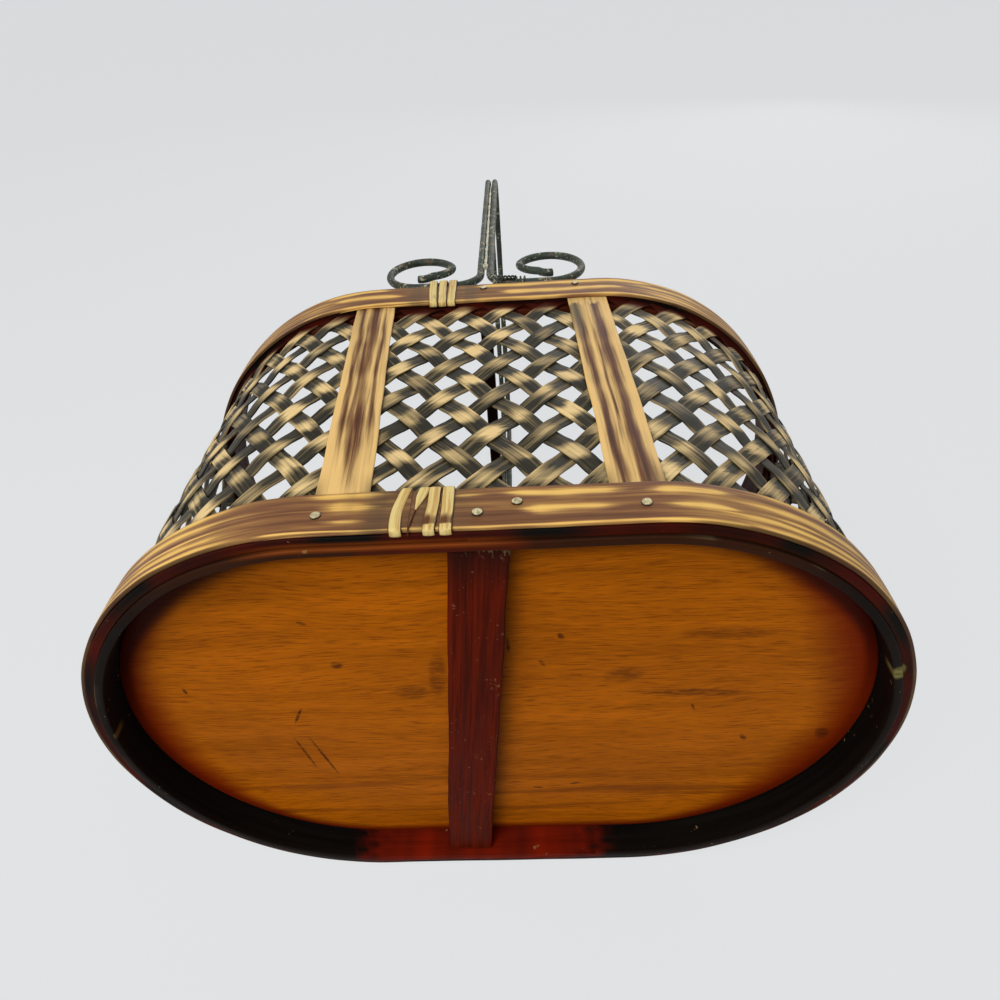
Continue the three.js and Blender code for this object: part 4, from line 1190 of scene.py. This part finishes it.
def rod_route(leg_offset, leg_y, seat, grip, radius):
    """Middle line of one handle rod, from its front scroll over the grip to the back scroll, on the
    side of positive x. The scroll is an ellipse that shrinks by a smooth step of its turn, then come
    the run along the rim, a quarter bend, the leg, the corner and half the grip, and the same again
    mirrored. Also gives the two vectors across the rod at each point."""
    share = np.linspace(1, 0, 130)
    shrink = 1 - (1 - SCROLL_END_SHARE) * ease(SCROLL_TURN * share, *SCROLL_TIGHTENS)
    angle = SCROLL_TURN * share
    scroll_x = SCROLL_FROM_CENTRE + (SCROLL_WIDTH / 2 - radius) * shrink * np.sin(angle)
    scroll_z = seat + (SCROLL_HEIGHT / 2 - radius) * (1 - shrink * np.cos(angle))
    turn = np.linspace(0, math.pi / 2, 16)
    foot_x = leg_offset + FOOT_BEND - FOOT_BEND * np.sin(turn)
    foot_z = seat + FOOT_BEND - FOOT_BEND * np.cos(turn)
    leg_z = np.linspace(seat + FOOT_BEND, grip - HANDLE_CORNER, 40)[1:]
    flat_x = np.concatenate((scroll_x, foot_x, np.full_like(leg_z, leg_offset)))
    flat_z = np.concatenate((scroll_z, foot_z, leg_z))
    flat = np.stack((flat_x, np.full_like(flat_x, -leg_y), flat_z), axis=-1)
    corner_y = -leg_y + HANDLE_CORNER * (1 - np.cos(turn[1:]))
    corner_z = grip - HANDLE_CORNER * (1 - np.sin(turn[1:]))
    grip_y = np.linspace(-leg_y + HANDLE_CORNER, 0, 24)[1:]
    top_y = np.concatenate((corner_y, grip_y))
    top_z = np.concatenate((corner_z, np.full_like(grip_y, grip)))
    top = np.stack((np.full_like(top_y, leg_offset), top_y, top_z), axis=-1)
    front = np.concatenate((flat, top))
    route = np.concatenate((front, front[-2::-1] * (1, -1, 1)))
    ahead = directions(route)
    number = np.arange(len(route))[:, None]
    first = number < len(flat)
    last = number >= len(route) - len(flat)
    aside = np.where(first, np.cross(Y_AXIS, ahead), np.where(last, np.cross(ahead, Y_AXIS), X_AXIS))
    up = np.where(first, Y_AXIS, np.where(last, -Y_AXIS, np.cross(ahead, X_AXIS)))
    return route, aside, up


class BASKET_OT_handle(bpy.types.Operator):
    """Bends the two handle rods with their scrolls and fills the seam between them"""

    bl_idname = "basket.handle"
    bl_label = "Handle"

    def execute(self, context):
        radius = sizes().rod / 2
        boxes = {side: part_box(f"handle_rod_{side}") for side in ("left", "right")}
        centre = (boxes["left"][0].x + boxes["right"][1].x) / 2
        gap = boxes["right"][0].x - boxes["left"][1].x
        low, high = boxes["right"]
        leg_y = high.y - radius
        seat = low.z + radius
        grip = high.z - radius
        for side, sign in (("left", -1), ("right", 1)):
            route, aside, up = rod_route(gap / 2 + radius, leg_y, seat, grip, radius)
            route = route * (sign, 1, 1) + (centre, 0, 0)
            aside = aside * (sign, 1, 1)
            up = up * (sign, 1, 1)
            distance = route_length(route)
            thick = radius * (1 + 0.02 * wander(distance, 25 * MM, 420 + sign))
            points = tube(route, aside, up, thick, 16)
            add_piece(f"{side}_rod", points, "black_wire", (f"handle_rod_{side}",), sharp=50)
        self.welds(centre, leg_y)
        return {"FINISHED"}

    def welds(self, centre, leg_y):
        """A bead in the groove between the rods on each leg: a blob near the foot that tapers to a thin
        uneven line up the leg."""
        for side, sign in (("front", -1), ("back", 1)):
            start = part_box(f"handle_weld_{side}")[0].z
            height = np.linspace(start, start + WELD_SEAM, 160)
            climb = (height - start) / WELD_SEAM
            girth = 0.95 * np.exp(-((height - start - 1.6 * MM) / (2.2 * MM)) ** 2)
            girth = girth + 0.5 * ease(climb, 1.0, 0.75) * (1 + 0.5 * wander(height, 14 * MM, 431))
            girth = np.maximum(girth, 0.06) * MM * ease(climb, 1.0, 0.9) + 0.03 * MM
            route = np.stack((0 * height + centre, 0 * height + sign * (leg_y + WELD_PROUD), height), axis=-1)
            points = tube(route, *square_to(route, X_AXIS), girth, 12)
            add_piece(f"{side}_weld_seam", points, "weld_metal", (f"handle_weld_{side}",), sharp=60)


def rod_seat():
    """Height and wall depth of the handle rods' run along the rim."""
    low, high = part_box("handle_rod_left")
    radius = sizes().rod / 2
    seat = low.z + radius
    return seat, GROUND_RADIUS + LEAN * RIM_HIGH.z - (high.y - radius)


def over_rod(arc, reach):
    """Depth and height of points on an arc about the rods' run along the rim, at a reach from the
    run's middle and between two angles in degrees."""
    seat, seat_depth = rod_seat()
    turn = np.radians(np.linspace(*arc, 14))
    return np.stack((seat_depth + reach * np.cos(turn), seat + reach * np.sin(turn)), axis=-1)


def closed_route(corners, count, softness):
    """A closed polygon walked in even steps and rounded: each point is the bell-weighted mean of its
    neighbours, as a circular convolution done with Fourier transforms."""
    corners = np.concatenate((corners, corners[:1]))
    distance = route_length(corners)
    walk = np.linspace(0, distance[-1], count, endpoint=False)
    even = np.stack([np.interp(walk, distance, corners[:, axis]) for axis in range(corners.shape[1])])
    lag = np.minimum(np.arange(count), count - np.arange(count)) * distance[-1] / count
    bell = np.exp(-(lag / softness) ** 2)
    return np.fft.ifft(np.fft.fft(even) * np.fft.fft(bell / bell.sum())).real


# The tie wires: sides of their section, turns, and clearance from what they go round.
WIRE_SIDES = 8
TIE_TURNS = 3
TIE_CLEARANCE = 0.3 * MM
# Degrees at which a tie meets and leaves the rod, seen along it.
TIE_ARC = 285, 30
# The twisted ends of one tie.
TWIST_TURNS = 2.5
TWIST_LENGTH = 7.5 * MM


class BASKET_OT_ties(bpy.types.Operator):
    """Winds the thin tie wires round the rim at the handle's feet"""

    bl_idname = "basket.ties"
    bl_label = "Tie Wires"

    def execute(self, context):
        for number, name in enumerate(("front_right", "back_right", "back_left")):
            self.tie(name, 441 + number)
        self.twist("front_right")
        return {"FINISHED"}

    def twist(self, name):
        """The two ends of a tie twisted together beside the rod's foot: two helices, half a turn apart,
        about a line along the wall."""
        radius = sizes().tie_wire / 2
        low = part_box(f"tie_wire_{name}")[0]
        seat, seat_depth = rod_seat()
        share = np.linspace(0, 1, 100)
        strands = []
        for start in (0, math.pi):
            turn = 2 * math.pi * TWIST_TURNS * share + start
            along = low.x + 0.5 * MM - TWIST_LENGTH * share
            depth = seat_depth - sizes().rod / 2 - 1.9 * radius + 1.5 * radius * np.cos(turn)
            height = seat - 0.2 * MM + 1.6 * radius * np.sin(turn) + 0.6 * MM * share * share
            route = wall(along, depth, height)
            strands.append(tube(route, *square_to(route, Y_AXIS), radius, WIRE_SIDES))
        add_piece(f"{name}_twist", np.concatenate(strands), "black_wire", (), sharp=60)

    def tie(self, name, seed):
        """Three turns side by side of a closed route in the plane across the wall: up the face of the
        strips, over the handle's rod on an arc, down inside the wall and back under the rim."""
        radius = sizes().tie_wire / 2
        low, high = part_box(f"tie_wire_{name}")
        start = low.x + radius if low.y < 0 else BACK - high.x + radius
        near = sizes().outer_hoop + TIE_CLEARANCE + radius
        far = INNER_HOOP + sizes().inner_hoop + TIE_CLEARANCE + radius
        bottom = low.z + radius
        over = over_rod(TIE_ARC, (sizes().rod + sizes().tie_wire) / 2 + TIE_CLEARANCE)
        corners = np.concatenate((((near + radius, bottom), (near, bottom + 2 * radius), (near, RIM_HIGH.z)),
                                  over, ((far, RIM_HIGH.z + 2 * radius), (far, bottom + 2 * radius),
                                         (far - radius, bottom))))
        depth, height = closed_route(corners, 64, 0.35 * MM)
        depth = np.tile(depth, TIE_TURNS)
        height = np.tile(height, TIE_TURNS)
        share = np.linspace(0, 1, len(depth))
        along = start + (high.x - low.x - 2 * radius) * share + 0.22 * MM * wander(share, 0.2, seed)
        route = wall(along, depth, height)
        points = tube(route, *square_to(route, X_AXIS), radius, WIRE_SIDES)
        add_piece(f"{name}_tie", points, "black_wire", (f"tie_wire_{name}",), sharp=60)


def signed_power(value, power):
    """A power of a value's size, with the value's sign."""
    return np.sign(value) * np.abs(value) ** power


def strand_points(route_depth, route_height, along, width, thickness, narrow):
    """One flat lashing strand round a closed route in the plane across the wall: a lens-shaped section,
    wide along the wall and crowned outwards, carried round the route."""
    step_depth = (np.roll(route_depth, -1) - np.roll(route_depth, 1)) / 2
    step_height = (np.roll(route_height, -1) - np.roll(route_height, 1)) / 2
    length = np.hypot(step_depth, step_height)
    turn = np.linspace(0, 2 * math.pi, 18, endpoint=False)[None, :]
    flat = signed_power(np.cos(turn), 0.75)
    aside = 0.5 * width * flat * narrow[:, None]
    lift = 0.5 * thickness * signed_power(np.sin(turn), 0.8)
    depth = route_depth[:, None] - (step_height / length)[:, None] * lift
    height = route_height[:, None] + (step_depth / length)[:, None] * lift
    return wall(along[:, None] + aside, depth, height)[None], np.cumsum(length)[:, None], aside


# Strands of each lashing.
STRANDS = {"base": 4, "rim": 3}
# Width of a strand's solid, which with its lean makes up the solid's box.
SOLID_STRAND = 3.3 * MM
# Degrees at which a strand meets and leaves the rod, seen along it.
STRAND_ARC = 175, -75
STRAND_CLEARANCE = 0.1 * MM


class BASKET_OT_lashings(bpy.types.Operator):
    """Wraps the rattan lashings round the laps of the outer hoops"""

    bl_idname = "basket.lashings"
    bl_label = "Rattan Lashings"

    def execute(self, context):
        for place_name, count in STRANDS.items():
            for number in range(1, count + 1):
                self.strand(place_name, number)
        return {"FINISHED"}

    def route(self, place_name, low, high, half):
        """Corners of a turn as depth and height: round the base hoop, or up the face of the rim hoop,
        over the handle's rod on an arc and down again behind the hoop."""
        near = -half
        far = sizes().outer_hoop + half
        if place_name == "base":
            return np.array(((near, low.z + half), (near, high.z - half),
                             (far, high.z - half), (far, low.z + half)))
        over = over_rod(STRAND_ARC, sizes().rod / 2 + half + STRAND_CLEARANCE)
        return np.concatenate((((near, low.z + half), (near, RIM_HIGH.z)), over,
                               ((far, RIM_HIGH.z - half), (far, low.z + half))))

    def strand(self, place_name, number):
        """One turn round a hoop, set on its solid's box, leaning along the wall with height and stained
        brown low down. The first strand at the base bows, and the second is torn to a thin brown end."""
        node = f"rattan_{place_name}_strand_{number}"
        low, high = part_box(node)
        seed = 450 + 10 * number + (100 if place_name == "rim" else 0)
        width = sizes().rattan_width
        thickness = sizes().rattan_thickness
        corners = self.route(place_name, low, high, thickness / 2)
        route_depth, route_height = closed_route(corners, 150, 0.7 * MM)
        share = (route_height - low.z) / (high.z - low.z)
        lean = high.x - low.x - SOLID_STRAND
        if place_name == "rim":
            lean = -lean
        bow = 0.0
        narrow = 1 + 0.06 * wander(route_height, 12 * MM, seed)
        stain = ease(share, 0.52, 0.2) * ease(share, 0.06, 0.14) * (0.8 if place_name == "base" else 0.35)
        if node == "rattan_base_strand_1":
            bow = 1.0 * MM
            lean = 0.8 * lean
            narrow = narrow * (1.0 - 0.2 * share)
            stain = 0.2 * stain
        if node == "rattan_base_strand_2":
            lean = lean + 2.2 * MM
            narrow = narrow * (0.08 + 0.8 * ease(share, 0.38, 0.85))
            stain = np.maximum(stain, ease(share, 0.5, 0.4))
        middle = (low.x + high.x) / 2
        along = middle + lean * (share - 0.5) - bow * 4 * share * (1 - share)
        along = along + 0.15 * MM * wander(route_height + route_depth, 30 * MM, seed + 1)
        points, run, aside = strand_points(route_depth, route_height, along, width, thickness, narrow)
        # Painted shade: brown along each strand's edges, where it meets its neighbours.
        edge = ease(np.abs(aside), 0.36 * width, 0.48 * width)
        marks = {"run": run, "across": aside, "tone": seed * 0.13,
                 "stain": np.maximum(stain[:, None], edge)}
        add_piece(f"{place_name}_lashing_{number}", points, "rattan", (node,), marks, sharp=60, closed=True)


# Rings on a nail's dome, height of the dome, and length of the point.
DOME_RINGS = 9
NAIL_DOME = 0.75 * MM
NAIL_POINT = 2 * MM


class BASKET_OT_nails(bpy.types.Operator):
    """Drives the nails, with their domed heads on the outer hoops"""

    bl_idname = "basket.nails"
    bl_label = "Nails"

    def execute(self, context):
        nodes = [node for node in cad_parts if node.startswith("nail_")]
        for number, node in enumerate(nodes):
            self.nail(node, number)
        return {"FINISHED"}

    def nail(self, node, number):
        """A nail as a profile turned about its own line: a low dome, a rolled edge, the flat under the
        head, the shank and a blunt point, with the dome dented off its centre."""
        low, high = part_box(node)
        middle = (low + high) / 2
        head = sizes().nail_head
        outwards = -1 if middle.y < 0 else 1
        front = low.y if outwards < 0 else high.y
        length = high.y - low.y
        angle = np.linspace(0.06, math.pi / 2, DOME_RINGS)
        dome_radius = head * np.sin(angle)
        dome_in = NAIL_DOME * (1 - np.cos(angle))
        radius = np.concatenate((dome_radius, (head, 0.97 * head, 0.5 * head, 0.5 * head, 0.06 * head)))
        inwards = np.concatenate((dome_in, (0.85 * MM, 0.95 * MM, MM, length - NAIL_POINT, length)))
        turn = np.linspace(0, 2 * math.pi, 24, endpoint=False)[None, :]
        spread = radius[:, None] * (1 + 0.03 * wander(turn / (2 * math.pi), 1.0, 470 + number))
        x = middle.x + spread * np.cos(turn)
        z = middle.z + spread * np.sin(turn)
        dent = 0.1 * MM * np.cos(turn - number) * np.sin(math.pi * np.clip(radius / head, 0, 1))[:, None]
        y = front - outwards * (inwards[:, None] + dent * (np.arange(len(radius)) < DOME_RINGS)[:, None])
        points = swept(x, y, z)
        # Painted shade: a dark ring round the head's edge, where it meets the hoop.
        marks = {"soot_and_shade": ease(radius, 0.86 * head, 0.97 * head)[:, None]}
        add_piece(node.replace("nail_", "brad_"), points, "nail_metal", (node,), marks, sharp=45)


# Stage

FLOOR_REACH = 60.0
# Gap between the basket and the floor that it lies on.
FLOOR_GAP = 1.5 * MM
# Share of the floor's own even light, beside the light that falls on it.
FLOOR_GLOW = 0.86
# Strength of the room's light on the basket, and what is added where the camera sees the room.
ROOM_LIGHT = 0.2
ROOM_GLOW = 0.55


def seen_rays(tree):
    """1 for what the camera sees, straight or in gloss and glass, and 0 for light on the basket."""
    path = shader_node(tree, "ShaderNodeLightPath").outputs
    return reckon(tree, "MAXIMUM", path["Is Camera Ray"],
                  reckon(tree, "MAXIMUM", path["Is Glossy Ray"], path["Is Transmission Ray"]))


def floor_material():
    """A pale floor that shows only from its front, to the camera and in reflections, so that it takes
    the basket's shadow and blocks no light."""
    material, tree, shader = new_material("pale_floor")
    tree.nodes.remove(shader)
    facing = reckon(tree, "SUBTRACT", 1.0, shader_node(tree, "ShaderNodeNewGeometry").outputs["Backfacing"])
    matt = shader_node(tree, "ShaderNodeBsdfDiffuse", {"Color": colour("floor")})
    glow = shader_node(tree, "ShaderNodeEmission", {"Color": colour("floor"), "Strength": 1.0})
    even = shader_node(tree, "ShaderNodeMixShader", {0: FLOOR_GLOW, 1: matt.outputs[0], 2: glow.outputs[0]})
    clear = shader_node(tree, "ShaderNodeBsdfTransparent")
    mix = shader_node(tree, "ShaderNodeMixShader", {
        0: times(tree, seen_rays(tree), facing), 1: clear.outputs[0], 2: even.outputs[0]})
    tree.links.new(mix.outputs[0], tree.nodes["Material Output"].inputs["Surface"])
    return material


# Soft lights: name, direction from the basket, distance and width in metres, and watts.
LIGHTS = (
    ("key_light", (-0.3, -0.72, -0.62), 1.3, 0.8, 13.0),
    ("top_light", (0.4, -0.5, 1.0), 1.5, 1.0, 5.0),
    ("back_light", (-0.5, 0.9, 0.4), 1.6, 0.9, 4.0),
)
# Point that the lights aim at.
AIM = Vector((0, 0, 0.08))


def add_light(name, towards, distance, size, watts):
    """A square soft light at a distance in the direction towards, aimed at the basket's middle."""
    lamp = bpy.data.lights.new(name, "AREA")
    lamp.shape = "SQUARE"
    lamp.size = size
    lamp.energy = watts
    light = bpy.data.objects.new(name, lamp)
    towards = Vector(towards).normalized()
    light.location = AIM + distance * towards
    light.rotation_euler = towards.to_track_quat("Z", "Y").to_euler()
    bpy.context.scene.collection.objects.link(light)


class BASKET_OT_stage(bpy.types.Operator):
    """Sets the floor that the basket lies on, the floor that it stands on, the lights and the camera"""

    bl_idname = "basket.stage"
    bl_label = "Stage"

    def execute(self, context):
        scene = context.scene
        scene.view_settings.view_transform = "Standard"
        self.floors(scene)
        self.room(scene)
        for light in LIGHTS:
            add_light(*light)
        self.camera(scene)
        return {"FINISHED"}

    def floors(self, scene):
        """Two wide squares: one under the standing basket, and one behind it that it lies on."""
        pale = floor_material()
        square = FLOOR_REACH * np.array(((-1, -1), (1, -1), (1, 1), (-1, 1)))
        for name, corners in (
                ("standing_floor", np.insert(square, 2, 0.0, axis=1)),
                ("lying_floor", np.insert(square, 1, CAD_BOX[1].y + FLOOR_GAP, axis=1))):
            mesh = bpy.data.meshes.new(name)
            mesh.from_pydata(corners, [], [(0, 1, 2, 3)])
            mesh.materials.append(pale)
            plane = bpy.data.objects.new(name, mesh)
            scene.collection.objects.link(plane)

    def room(self, scene):
        """A white room that gives the basket weak even light and looks pale to the camera."""
        world = bpy.data.worlds.new("pale_room")
        scene.world = world
        world.use_nodes = True
        tree = world.node_tree
        glow = times(tree, seen_rays(tree), ROOM_GLOW)
        fill(tree, tree.nodes["Background"], {
            "Color": (1.0, 1.0, 1.0, 1.0), "Strength": reckon(tree, "ADD", glow, ROOM_LIGHT)})

    def camera(self, scene):
        """The photo's camera, its axes made square to its direction."""
        camera = bpy.data.cameras.new("photo_camera")
        camera.sensor_width = CAMERA_SENSOR
        camera.lens = CAMERA_LENS
        camera.clip_start, camera.clip_end = CAMERA_CLIP
        view = bpy.data.objects.new("photo_camera", camera)
        right = CAMERA_FORWARD.cross(CAMERA_UP).normalized()
        up = right.cross(CAMERA_FORWARD).normalized()
        turned = Matrix((right, up, -CAMERA_FORWARD)).transposed().to_4x4()
        view.matrix_world = Matrix.Translation(CAMERA_PLACE) @ turned
        scene.collection.objects.link(view)
        scene.camera = view


class VIEW3D_PT_basket(bpy.types.Panel):
    """Lists the basket's sizes, colours and pieces"""

    bl_label = "Bottle Basket"
    bl_space_type = "VIEW_3D"
    bl_region_type = "UI"
    bl_category = "Basket"

    def draw(self, context):
        for group in (context.scene.basket_sizes, context.scene.basket_colours):
            box = self.layout.box()
            for name in group.__annotations__:
                box.prop(group, name)
        for operator in OPERATORS:
            self.layout.operator(operator.bl_idname)


OPERATORS = (
    BASKET_OT_stage,
    BASKET_OT_hoops,
    BASKET_OT_weave,
    BASKET_OT_slats,
    BASKET_OT_base,
    BASKET_OT_divider,
    BASKET_OT_handle,
    BASKET_OT_ties,
    BASKET_OT_lashings,
    BASKET_OT_nails,
)
CLASSES = (BasketSizes, BasketColours, *OPERATORS, VIEW3D_PT_basket)


def register():
    for item in CLASSES:
        bpy.utils.register_class(item)
    bpy.types.Scene.basket_sizes = PointerProperty(type=BasketSizes)
    bpy.types.Scene.basket_colours = PointerProperty(type=BasketColours)


def unregister():
    del bpy.types.Scene.basket_colours
    del bpy.types.Scene.basket_sizes
    for item in reversed(CLASSES):
        bpy.utils.unregister_class(item)


def main():
    register()
    bpy.ops.basket.stage()
    bpy.ops.basket.hoops()
    bpy.ops.basket.weave()
    bpy.ops.basket.slats()
    bpy.ops.basket.base()
    bpy.ops.basket.divider()
    bpy.ops.basket.handle()
    bpy.ops.basket.ties()
    bpy.ops.basket.lashings()
    bpy.ops.basket.nails()


if __name__ == "__main__":
    main()
